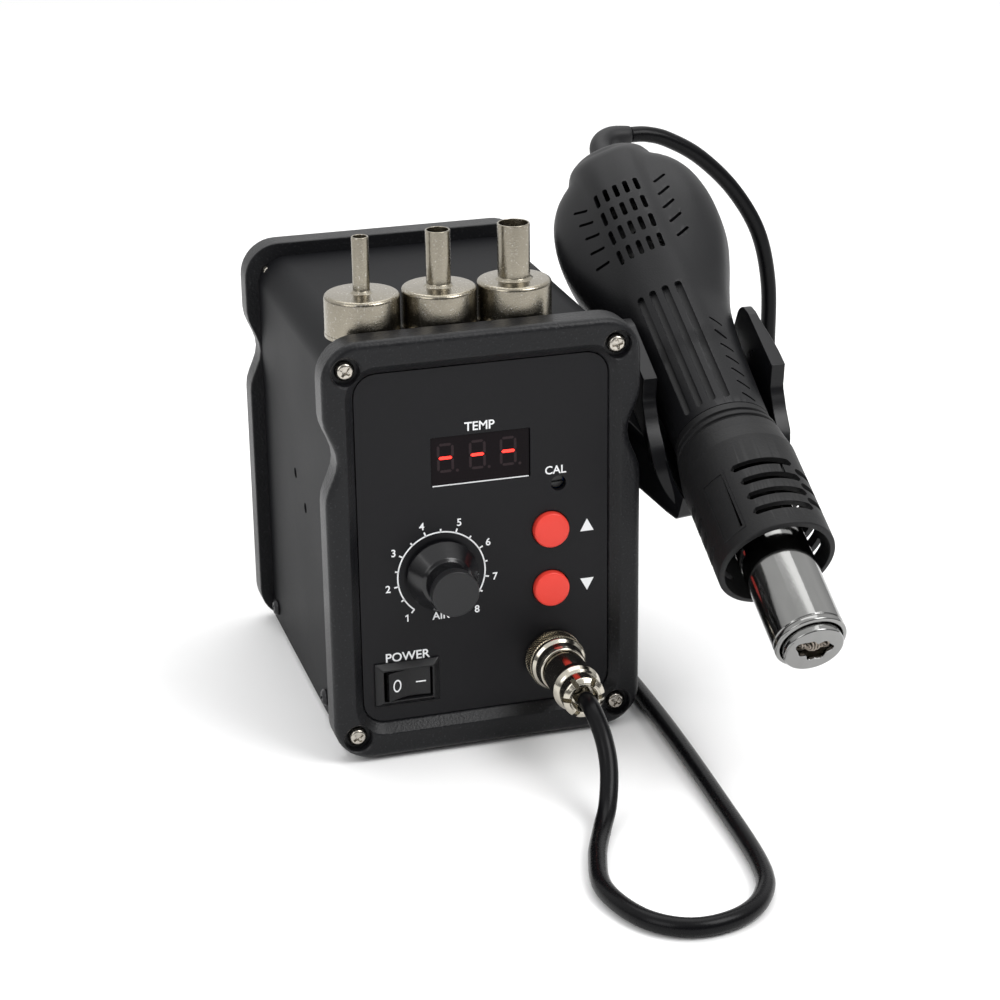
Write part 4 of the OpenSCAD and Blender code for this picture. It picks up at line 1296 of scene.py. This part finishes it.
def make_holder():
    """Holder: an open cup with wings, and the plate and arm that carry it on the wall."""
    radius, wall = 19.2, 3.0
    section = [(-radius, 13 - k * 1.3) for k in range(10)]
    section += [
        (-radius * math.cos(math.pi * k / 36), -radius * math.sin(math.pi * k / 36))
        for k in range(37)
    ]
    section += [(radius, 1.3 * (k + 1)) for k in range(10)]
    rows = []
    for x, y in section:
        start, end = back_edge(y), front_edge(y)
        rows.append([(x, y, start + (end - start) * k / 24) for k in range(25)])
    cup = solid("holder_cup", strip(rows))
    thick = cup.modifiers.new("wall", "SOLIDIFY")
    thick.thickness = wall
    thick.offset = 0
    apply_modifiers(cup)
    for v in cup.data.vertices:
        x, y, t = v.co.x, v.co.y, max(0.0, min(1.0, (v.co.z - 46) / 22))
        far = math.hypot(x, y) if y < 0 else abs(x)
        grow = wall / 2 + (1.7 * t * t * (3 - 2 * t) if far > radius else 0)
        if y < 0:
            v.co.x, v.co.y = x * (1 + grow / far), y * (1 + grow / far)
        else:
            v.co.x = x + math.copysign(grow, x)
    soften(cup, 0.9, segments=3, angle=50)
    settle(cup, along_handpiece(), holder_plastic(), "root", ["holder"])

    wall_x = COVER_W / 2 - HANDPIECE.x + 0.05
    side = Matrix.Translation((wall_x, 0, 0)) @ Matrix.Rotation(math.radians(90), 4, "Y")
    plate = solid("plate", prism(rounded_box(34, 54, 6, (-52, -25.5)), 0, 3.2))
    plate.data.transform(side)
    holes = [
        moved(lathe([(0, -1), (1.7, -1), (1.7, 5), (0, 5)], 32),
              side @ Matrix.Translation((-s, HOLDER_SCREW_DROP, 0))) for s in HOLDER_SCREW_ROWS
    ]
    cut(plate, solid("holes", joined(holes)))
    arm_rings = []
    for k in range(13):
        t = k / 12
        low, high = -27 + 3.2 * t, -3 - 2 * t
        start, end = 40 + 4 * t, min(100.8, 64 + 50 * t)
        outline = rounded_box(high - low, end - start, 3.6, ((low + high) / 2, (start + end) / 2))
        arm_rings.append([(wall_x + 2 + t * 23, y, s) for y, s in outline])
    arm = solid("arm", loft(arm_rings))
    cut(arm, solid("room", lathe([(0, 0), (19.6, 0), (19.6, 160), (0, 160)], 96)))
    cut(plate, arm, "UNION")
    soften(plate, 0.7, segments=3, angle=40)
    plate.name = "holder_bracket"
    settle(plate, along_handpiece(), holder_plastic(), "root")


# ---- handpiece ----


def along(table, s):
    """Value at s of a smooth curve through a short table of places."""
    if s <= table[0][0]:
        return table[0][1]
    if s >= table[-1][0]:
        return table[-1][1]
    for i in range(len(table) - 1):
        (s0, v0), (s1, v1) = table[i], table[i + 1]
        if s <= s1:
            before = table[max(0, i - 1)]
            after = table[min(len(table) - 1, i + 2)]
            t = (s - s0) / (s1 - s0)
            m0 = (v1 - before[1]) / (s1 - before[0]) * (s1 - s0)
            m1 = (after[1] - v0) / (after[0] - s0) * (s1 - s0)
            return (
                (2 * t ** 3 - 3 * t ** 2 + 1) * v0 + (t ** 3 - 2 * t ** 2 + t) * m0
                + (3 * t ** 2 - 2 * t ** 3) * v1 + (t ** 3 - t ** 2) * m1
            )
    return table[-1][1]


# Half sizes of the handle's skin at places along it, in millimetres
TAIL_LOBE = [(-38, 10.5), (-37, 13.2), (-34.5, 15.2), (-31, 16.4), (-27, 16.8), (-20, 16.0)]
MAIN_LOBE = [
    (-32.5, 11.0), (-31, 15.5), (-28, 20.0), (-20, 24.9), (-10, 27.4), (0, 28.0), (10, 27.1),
    (20, 24.5), (30, 21.2), (40, 18.5), (55, 16.9), (75, 16.1), (88, 15.8),
]
HANDLE_DEPTH = [
    (-32, 10.5), (-25, 14.5), (-10, 17.0), (5, 17.5), (25, 17.2), (40, 17.2), (55, 16.8),
    (75, 16.1), (88, 15.8),
]
RIDGE = [
    (-36, 11.0), (-31, 17.0), (-24, 19.4), (-10, 20.8), (5, 20.8), (20, 19.4), (40, 17.2),
    (60, 15.6),
]


def handle_radius(s, angle):
    """Distance of the handle's skin from its axis, at a place along it and an angle round it."""
    c, d = abs(math.cos(angle)), math.sin(angle)
    up = d > 0
    d = abs(d)
    shapes = []

    def oval(half_width, half_height, power):
        return ((c / half_width) ** power + (d / half_height) ** power) ** (-1 / power)

    if s <= -20:
        lobe = along(TAIL_LOBE, s)
        shapes.append(oval(lobe, min(lobe, 15.5), 2.3))
    if s >= -32.5:
        wide = along(MAIN_LOBE, s)
        thick = min(wide, along(HANDLE_DEPTH, s))
        power = 2.0 + 0.9 * max(0.0, min(1.0, (40 - s) / 40))
        shapes.append(oval(wide, thick, power))
    if up and -36 < s < 60:
        shapes.append(oval(13.2, along(RIDGE, s), 3.2))
    power = 16
    biggest = max(shapes)
    return biggest * sum((r / biggest) ** power for r in shapes) ** (1 / power)


def handle_half(sign, wall):
    """One shell of the handle as a thick half skin, above (1) or below (-1) the parting plane."""
    gap = 0.06
    places = [TAIL, -37.6, -37, -36, -34.5, -33.2, -32.4, -31.6, -30.4, -29, -27.5]
    places += [-25 + 2.5 * k for k in range(45)] + [GRIP_END]
    steps = 72
    rows = []
    for s in places:
        row = []
        for k in range(steps + 1):
            angle = math.pi * k / steps * sign
            r = handle_radius(s, angle)
            y = r * math.sin(angle)
            row.append((r * math.cos(angle), y + sign * gap, s))
        rows.append(row)

    def closed_in(row, s, radius):
        """The row drawn in to a radius, to close an end round a neck."""
        made = []
        for x, y, _ in row:
            far = math.hypot(x, y - sign * gap)
            made.append((x * radius / far, (y - sign * gap) * radius / far + sign * gap, s))
        return made

    rows.insert(0, closed_in(rows[0], TAIL - 0.3, 9.0))
    rows.insert(0, closed_in(rows[0], TAIL - 0.35, 5.4))
    rows.append(closed_in(rows[-1], GRIP_END + 0.05, 15.2))
    rows.append(closed_in(rows[-1], GRIP_END + 0.05, 13.0))
    shell = solid("shell", strip(rows))
    bm = bmesh.new()
    bm.from_mesh(shell.data)
    face = max(bm.faces, key=lambda f: abs(f.calc_center_median().y))
    if face.normal.y * sign < 0:
        bmesh.ops.reverse_faces(bm, faces=bm.faces)
    bm.to_mesh(shell.data)
    bm.free()
    thick = shell.modifiers.new("wall", "SOLIDIFY")
    thick.thickness = wall
    thick.offset = -1
    thick.use_even_offset = False
    apply_modifiers(shell)
    return shell


def skin_height(x, s):
    """Height of the upper shell over the parting plane at a place across and along."""
    low, high = 0.0, 40.0
    for _ in range(24):
        y = (low + high) / 2
        if math.hypot(x, y) < handle_radius(s, math.atan2(y, x)):
            low = y
        else:
            high = y
    return low


def groove_cutter(x, start, end, width, depth):
    """Round-ended groove that follows the skin of the grip."""
    turn = [width / 2 * (1 - math.cos(math.pi / 2 * k / 6)) for k in range(6)]
    spots = [start + t for t in turn]
    spots += [start + width / 2 + (end - start - width) * k / 20 for k in range(21)]
    spots += [end - t for t in reversed(turn)]
    rings = []
    for s in spots:
        near = min(s - start, end - s)
        half = width / 2 * math.sqrt(max(0.02, 1 - max(0.0, 1 - near / (width / 2)) ** 2))
        floor = skin_height(x, s) - depth
        rings.append([
            (x - half, floor + 6, s), (x - half, floor + 0.35, s), (x - half * 0.55, floor, s),
            (x + half * 0.55, floor, s), (x + half, floor + 0.35, s), (x + half, floor + 6, s),
        ])
    return loft(rings)


def slot_matrix(x, s, lean):
    """Place of a slot on the upper skin, turned in the skin by a lean in degrees."""
    y = skin_height(x, s)
    step = 0.5
    across = Vector((step, skin_height(x + step, s) - y, 0)).normalized()
    ahead = Vector((0, skin_height(x, s + step) - y, step)).normalized()
    out = ahead.cross(across).normalized()
    ahead = across.cross(out)
    turn = Matrix((across, out, ahead)).transposed().to_4x4()
    return Matrix.Translation((x, y, s)) @ turn @ Matrix.Rotation(math.radians(lean), 4, "Y")


def make_handle():
    """Upper and lower handle shells, with the intake grid, side slits and grip grooves."""
    sizes = bpy.context.scene.station_handpiece
    wall = sizes.wall / MM
    place = along_handpiece(ROLL)

    def slot_shape(width, length, depth=7.0):
        bar = prism(rounded_box(width, length, width * 0.48), -depth, depth)
        return solid("slot", moved(bar, Matrix.Rotation(math.pi / 2, 4, "X")))

    top = handle_half(1, wall)
    top.name = "handle_upper_shell"
    grid = [
        slot_matrix(3.6 * col - 0.6, -8.5 + 8.8 * row, 0)
        for row in range(4) for col in range(-2, 3)
    ]
    cut(top, copies_at("grid", slot_shape(1.7, 6.0), grid, handle_plastic()))
    slits = [
        slot_matrix(side * (13.6 + 0.05 * abs(s - 3)), s, -57 if side > 0 else 62 + 0.9 * (s + 10))
        for side in (-1, 1) for s in (-10.5, -4, 2.5, 9, 15.5)
    ]
    cut(top, copies_at("slits", slot_shape(1.1, 5.8), slits, handle_plastic()))
    marks = [slot_matrix(12.3, 53.5 + 5.3 * k, 60) for k in range(7)]
    cut(top, copies_at("marks", slot_shape(0.8, 5.2, 0.8), marks, handle_plastic()))
    count = sizes.grip_grooves
    pitch = sizes.groove_pitch / MM
    grooves = [
        groove_cutter(pitch * (k - (count - 1) / 2) - 0.6, 36, 85.6, 2.3, 1.55)
        for k in range(count)
    ]
    cut(top, solid("grooves", joined(grooves)))
    soften(top, 0.16, angle=50)
    settle(top, place, handle_plastic(), "handpiece", ["handle_top"])

    bottom = handle_half(-1, wall)
    bottom.name = "handle_lower_shell"
    holes = [
        moved(lathe([(0, 0), (radius, 0), (radius, 20), (0, 20)], 40),
              Matrix.Translation((0, -low, s)) @ Matrix.Rotation(math.radians(90), 4, "X"))
        for s, depth in HANDLE_SCREWS for radius, low in ((1.6, 6), (2.8, depth))
    ]
    cut(bottom, solid("holes", joined(holes)))
    soften(bottom, 0.16, angle=50)
    settle(bottom, place, handle_plastic(), "handpiece", ["handle_bottom"])


def make_relief():
    """Cable relief: a ribbed sleeve along the tail and an elbow that lets the cable out sideways."""
    straight, elbow = 10.2, 8.0
    line = [Vector((0, 0, TAIL + 3 - k * 1.32)) for k in range(11)]
    radii = [4.5 if p.z > TAIL - 0.6 else 5.3 - 0.12 * (TAIL - p.z) for p in line]
    for k in range(1, 13):
        a = math.pi / 2 * k / 12
        line.append(Vector((
            elbow * (1 - math.cos(a)), 0, TAIL - straight - elbow * math.sin(a)
        )))
        radii.append(4.05 - 0.45 * k / 12)
    for x, r in ((8.8, 3.55), (9.6, 3.5), (10.6, 3.4), (11.6, 3.3), (12.6, 3.15), (12.8, 3.0)):
        line.append(Vector((x, 0, TAIL - straight - elbow)))
        radii.append(r)
    relief = solid("cable_relief_boot", loft(tube_rings(line, radii, 40, Vector((0, 1, 0)))))
    rib = solid("rib", prism(fillet([
        (-0.6, -0.6, 0), (0.2, -0.4, 0.15), (0.2, 0.4, 0.15), (-0.6, 0.6, 0),
    ], 3), -2.6, 2.6))
    ring_of(relief, rib, 12, 4.85, TAIL - 4.2, relief_rubber())
    settle(relief, along_handpiece(), relief_rubber(), "handpiece", ["cord_relief"],
           weighted=False)


def make_shroud():
    """Heater shroud with rings at its neck, rows of curved slots and a blank raised plate."""
    profile = fillet([
        (12.9, GRIP_END + 0.15, 0), (15.8, GRIP_END + 0.15, 0.2), (16.1, 90.6, 0.2),
        (15.4, 91.0, 0.2), (15.6, 92.0, 0.2), (16.7, 92.3, 0.3), (16.8, 93.6, 0.2),
        (16.1, 94.0, 0.2), (16.3, 94.8, 0.2), (17.2, 95.3, 0.5), (17.7, 99.0, 1.0), (18.6, 104, 3.0),
        (18.6, SHROUD_END - 0.2, 0.6), (16.7, SHROUD_END, 0.3), (16.6, 104, 2.0), (15.9, 98.5, 2.0),
        (12.9, 92.0, 0.2),
    ], 4)
    shroud = solid("shroud_sleeve", lathe(profile, 120))

    def curved_slot(width, span):
        angles = [math.radians(span * (k / 20 - 0.5)) for k in range(21)]
        rings = []
        for k, a in enumerate(angles):
            near = min(k, 20 - k) / 20 * math.radians(span) * 18 / (width / 2)
            half = width / 2 * math.sqrt(max(0.03, 1 - max(0.0, 1 - near) ** 2))
            rings.append([
                (r * math.sin(a), r * math.cos(a), z)
                for r, z in ((14, -half), (22, -half), (22, half), (14, half))
            ])
        return loft(rings)

    turns = []
    for group in (0, 120, 240):
        for row in range(4):
            shift = 0 if row == 0 else 4
            turns.append(
                Matrix.Rotation(math.radians(group - 26 - shift), 4, "Z")
                @ Matrix.Translation((0, 0, 115.6 + 5.9 * row))
            )
    cut(shroud, copies_at("slots", solid("slot", curved_slot(2.7, 64)), turns, shroud_plastic()))
    far = [
        Matrix.Rotation(math.radians(group + 46), 4, "Z")
        @ Matrix.Translation((0, 0, 118.5 + 5.9 * row))
        for group in (120, 240) for row in range(3)
    ]
    cut(shroud, copies_at("slots", solid("slot", curved_slot(2.6, 30)), far, shroud_plastic()))
    soften(shroud, 0.18, angle=45)

    angles = [math.radians(13 + 28 * k / 12) for k in range(13)]

    def bent(a, section):
        return [(-r * math.sin(a), r * math.cos(a), z) for r, z in section]

    rings = []
    for a in angles:
        inset = 0.2 if a in (angles[0], angles[-1]) else 0.0
        low, high = 114 + inset, 137 - inset
        rings.append(bent(a, [(18.3, low), (18.95, low + 0.3), (18.95, high - 0.3), (18.3, high)]))
    plate = solid("shroud_plate", loft(rings))
    recess = [(18.7, 115.1), (20, 115.1), (20, 135.9), (18.7, 135.9)]
    cut(plate, solid("recess", loft([bent(a, recess) for a in angles[1:-1]])))
    place = along_handpiece(ROLL)
    settle(shroud, place, shroud_plastic(), "handpiece", ["heater_shroud"])
    settle(plate, place, shroud_plastic(), "handpiece", weighted=False)


def make_heater():
    """Polished heater tube with its rolled lip, the nose ring and the wire behind its hole."""
    tube = lathe(fillet([
        (TUBE_R - 0.6, 94, 0), (13, 94, 0.3), (13, 99.6, 0.4), (TUBE_R, 100.4, 0.4),
        (TUBE_R, TUBE_END - 2.8, 0.3), (TUBE_R - 0.25, TUBE_END - 2.4, 0.2),
        (TUBE_R + 0.05, TUBE_END - 1.9, 0.3),
        (TUBE_R + 0.05, TUBE_END - 0.4, 0.6), (TUBE_R - 1.3, TUBE_END + 0.1, 0.4),
        (TUBE_R - 1.5, TUBE_END - 0.8, 0.2), (TUBE_R - 0.6, TUBE_END - 1.2, 0),
    ], 5), 128)
    place = along_handpiece()
    settle(solid("heater_tube_skin", tube), place, polished_tube(), "handpiece",
           ["heater_tube"], weighted=False)

    steps = 96
    turns = [2 * math.pi * k / steps for k in range(steps)]

    def hole(a):
        return 4.7 + 1.1 * math.cos(2 * a + 0.6) + 0.65 * math.sin(3 * a) + 0.45 * math.cos(7 * a)

    def ring(r, z):
        return [(r * math.cos(a), r * math.sin(a), z) for a in turns]

    def ragged(grow, z):
        return [((hole(a) + grow) * math.cos(a), (hole(a) + grow) * math.sin(a), z) for a in turns]

    end = TUBE_END + 2.6
    rings = [ring(9.5, TUBE_END - 2), ring(9.3, TUBE_END), ring(9.3, end - 0.7)]
    rings += [ring(9.3 - 0.7 * (1 - math.cos(a)), end - 0.7 + 0.7 * math.sin(a))
              for a in (math.pi / 8, math.pi / 4, 3 * math.pi / 8, math.pi / 2)]
    rings += [ring(8.2, end), ragged(0.35, end), ragged(0.1, end - 0.1), ragged(0, end - 0.3),
              ragged(0, end - 1.1), ring(8.4, end - 1.1), ring(8.4, TUBE_END - 2)]
    nose = solid("nose_ring", loft(rings, joined=True))
    settle(nose, place, polished_tube(), "handpiece", ["heater_nose"])

    line = []
    for k in range(120):
        a = 2 * math.pi * k / 12
        line.append(Vector((
            -4.6 + 9.2 * k / 119 + 1.1 * math.cos(a), 2.2 * math.sin(a) * math.cos(k / 19),
            end - 2.2 + 0.8 * math.sin(a + 1),
        )))
    wire = solid("heater_wire", loft(tube_rings(line, 0.36, 8)))
    settle(wire, place, core_wire(), "handpiece", weighted=False)


# ---- nozzles ----


def make_nozzles():
    """Three slip-on nozzles: a can with a soft shoulder and an outlet tube."""
    base = COVER_TOP + 0.05
    can, outlet, wall = 13.0, 17.5, 0.5
    outer = NOZZLE_BORE_R + wall
    for name, (x, diameter) in NOZZLES.items():
        r = diameter / 2
        top = can + outlet
        profile = fillet([
            (NOZZLE_BORE_R, 0, 0.15), (outer, 0, 0.15), (outer, 1.1, 0.1), (outer - 0.12, 1.3, 0.1),
            (outer - 0.12, can, 1.3), (r + 0.9, can + 0.1, 0.5), (r, can + 0.9, 0.5),
            (r, top, 0.2), (r - 0.5, top, 0.15), (r - 0.5, can - 0.9, 0.2),
            (NOZZLE_BORE_R, can - 0.9, 0.6),
        ], 6)
        nozzle = solid(f"nozzle_{name}_can", lathe(profile, 112))
        settle(nozzle, Matrix.Translation((x, NOZZLE_Y, base)), nozzle_nickel(),
               NOZZLE_BODIES[name], [f"nozzle_{name}"], weighted=False)


# ---- back, inside and underside ----


def softened_copy(node, width, material, body="root"):
    """A copy of a CAD node with its flat faces merged and its edges eased."""
    source = frame["nodes"][node]
    bm = bmesh.new()
    bm.from_mesh(source.data)
    bmesh.ops.remove_doubles(bm, verts=bm.verts, dist=0.000002)
    bmesh.ops.dissolve_limit(bm, angle_limit=math.radians(1), verts=bm.verts, edges=bm.edges)
    bm.transform(Matrix.Scale(1 / MM, 4))
    made = solid(node + "_eased", bm)
    soften(made, width, angle=40)
    settle(made, Matrix.Identity(4), material, body, [node])


def finish_rest():
    """Every CAD node that keeps its shape gets its finish."""
    inner = inner_finishes()
    softened_copy("rear_panel", 0.3, cover_paint())
    softened_copy("mains_inlet", 0.3, switch_black())
    softened_copy("chassis", 0.2, inner["chassis_steel"])
    softened_copy("heat_sink", 0.25, inner["sink_alu"])
    softened_copy("rubber_feet", 0.4, inner["foot_rubber"])
    slots = {row["node"]: row["material_slot"] for row in frame["record"]["subparts"]}
    for name, node in frame["nodes"].items():
        if not node.hide_render:
            material = inner.get(slots[name]) or switch_black()
            node.data.materials.clear()
            node.data.materials.append(material)


# ---- operators ----


class StageOperator(bpy.types.Operator):
    """Make the camera, the floor and the lights"""

    bl_idname = "station.stage"
    bl_label = "Stage"

    def execute(self, context):
        make_stage()
        return {"FINISHED"}


class CordOperator(bpy.types.Operator):
    """Make the cable between the plug and the handpiece"""

    bl_idname = "station.cord"
    bl_label = "Cable"

    def execute(self, context):
        make_cord()
        return {"FINISHED"}


class BezelsOperator(bpy.types.Operator):
    """Make the front and rear bezels"""

    bl_idname = "station.bezels"
    bl_label = "Bezels"

    def execute(self, context):
        make_bezel("front_bezel_frame", "front_bezel", on_front())
        make_bezel("rear_bezel_frame", "rear_bezel", on_rear())
        return {"FINISHED"}


class CoverOperator(bpy.types.Operator):
    """Make the folded cover"""

    bl_idname = "station.cover"
    bl_label = "Cover"

    def execute(self, context):
        make_cover()
        return {"FINISHED"}


class PanelOperator(bpy.types.Operator):
    """Make the front panel, its print and the painted highlight strip in the display opening"""

    bl_idname = "station.panel"
    bl_label = "Front panel"

    def execute(self, context):
        make_front_panel()
        make_print()
        return {"FINISHED"}


class DisplayOperator(bpy.types.Operator):
    """Make the display window and its digits"""

    bl_idname = "station.display"
    bl_label = "Display"

    def execute(self, context):
        make_display()
        return {"FINISHED"}


class ButtonsOperator(bpy.types.Operator):
    """Make the two red buttons"""

    bl_idname = "station.buttons"
    bl_label = "Buttons"

    def execute(self, context):
        make_buttons()
        return {"FINISHED"}


class KnobOperator(bpy.types.Operator):
    """Make the air knob"""

    bl_idname = "station.knob"
    bl_label = "Air knob"

    def execute(self, context):
        make_knob()
        return {"FINISHED"}


class SwitchOperator(bpy.types.Operator):
    """Make the power switch"""

    bl_idname = "station.switch"
    bl_label = "Power switch"

    def execute(self, context):
        make_switch()
        return {"FINISHED"}


class ConnectorOperator(bpy.types.Operator):
    """Make the lock ring, the plug and the clamp nut"""

    bl_idname = "station.connector"
    bl_label = "Connector"

    def execute(self, context):
        make_connector()
        return {"FINISHED"}


class ScrewsOperator(bpy.types.Operator):
    """Make every row of screws"""

    bl_idname = "station.screws"
    bl_label = "Screws"

    def execute(self, context):
        make_screws()
        return {"FINISHED"}


class HolderOperator(bpy.types.Operator):
    """Make the holder on the wall"""

    bl_idname = "station.holder"
    bl_label = "Holder"

    def execute(self, context):
        make_holder()
        return {"FINISHED"}


class HandleOperator(bpy.types.Operator):
    """Make the two shells of the handle"""

    bl_idname = "station.handle"
    bl_label = "Handle"

    def execute(self, context):
        make_handle()
        return {"FINISHED"}


class ReliefOperator(bpy.types.Operator):
    """Make the cable relief"""

    bl_idname = "station.relief"
    bl_label = "Cable relief"

    def execute(self, context):
        make_relief()
        return {"FINISHED"}


class ShroudOperator(bpy.types.Operator):
    """Make the heater shroud"""

    bl_idname = "station.shroud"
    bl_label = "Shroud"

    def execute(self, context):
        make_shroud()
        return {"FINISHED"}


class HeaterOperator(bpy.types.Operator):
    """Make the heater tube, the nose ring and the wire"""

    bl_idname = "station.heater"
    bl_label = "Heater"

    def execute(self, context):
        make_heater()
        return {"FINISHED"}


class NozzlesOperator(bpy.types.Operator):
    """Make the three slip-on nozzles"""

    bl_idname = "station.nozzles"
    bl_label = "Nozzles"

    def execute(self, context):
        make_nozzles()
        return {"FINISHED"}


class RestOperator(bpy.types.Operator):
    """Finish the back, the inside and the underside"""

    bl_idname = "station.rest"
    bl_label = "Back and inside"

    def execute(self, context):
        finish_rest()
        return {"FINISHED"}


OPERATORS = (
    StageOperator, CordOperator, BezelsOperator, CoverOperator, PanelOperator, DisplayOperator,
    ButtonsOperator, KnobOperator, SwitchOperator, ConnectorOperator, ScrewsOperator, HolderOperator,
    HandleOperator, ReliefOperator, ShroudOperator, HeaterOperator, NozzlesOperator, RestOperator,
)
SETTINGS = {
    "station_stage": StationStage, "station_case": StationCase, "station_controls": StationControls,
    "station_handpiece": StationHandpiece,
}


class StationPanel(bpy.types.Panel):
    """Lists the sizes, the colours and the steps that build the station"""

    bl_idname = "VIEW3D_PT_station"
    bl_label = "Hot air station"
    bl_space_type = "VIEW_3D"
    bl_region_type = "UI"
    bl_category = "Station"

    def draw(self, context):
        for name, group in SETTINGS.items():
            part = self.layout.box()
            for field in group.__annotations__:
                part.prop(getattr(context.scene, name), field)
        for operator in OPERATORS:
            self.layout.operator(operator.bl_idname)


def register():
    for name, group in SETTINGS.items():
        bpy.utils.register_class(group)
        setattr(bpy.types.Scene, name, bpy.props.PointerProperty(type=group))
    for operator in OPERATORS:
        bpy.utils.register_class(operator)
    bpy.utils.register_class(StationPanel)


def unregister():
    bpy.utils.unregister_class(StationPanel)
    for operator in reversed(OPERATORS):
        bpy.utils.unregister_class(operator)
    for name, group in reversed(SETTINGS.items()):
        delattr(bpy.types.Scene, name)
        bpy.utils.unregister_class(group)


def main():
    """Builds every piece in order."""
    register()
    bpy.ops.station.stage()
    bpy.ops.station.cord()
    bpy.ops.station.bezels()
    bpy.ops.station.cover()
    bpy.ops.station.panel()
    bpy.ops.station.display()
    bpy.ops.station.buttons()
    bpy.ops.station.knob()
    bpy.ops.station.switch()
    bpy.ops.station.connector()
    bpy.ops.station.screws()
    bpy.ops.station.holder()
    bpy.ops.station.handle()
    bpy.ops.station.relief()
    bpy.ops.station.shroud()
    bpy.ops.station.heater()
    bpy.ops.station.nozzles()
    bpy.ops.station.rest()


if __name__ == "__main__":
    main()
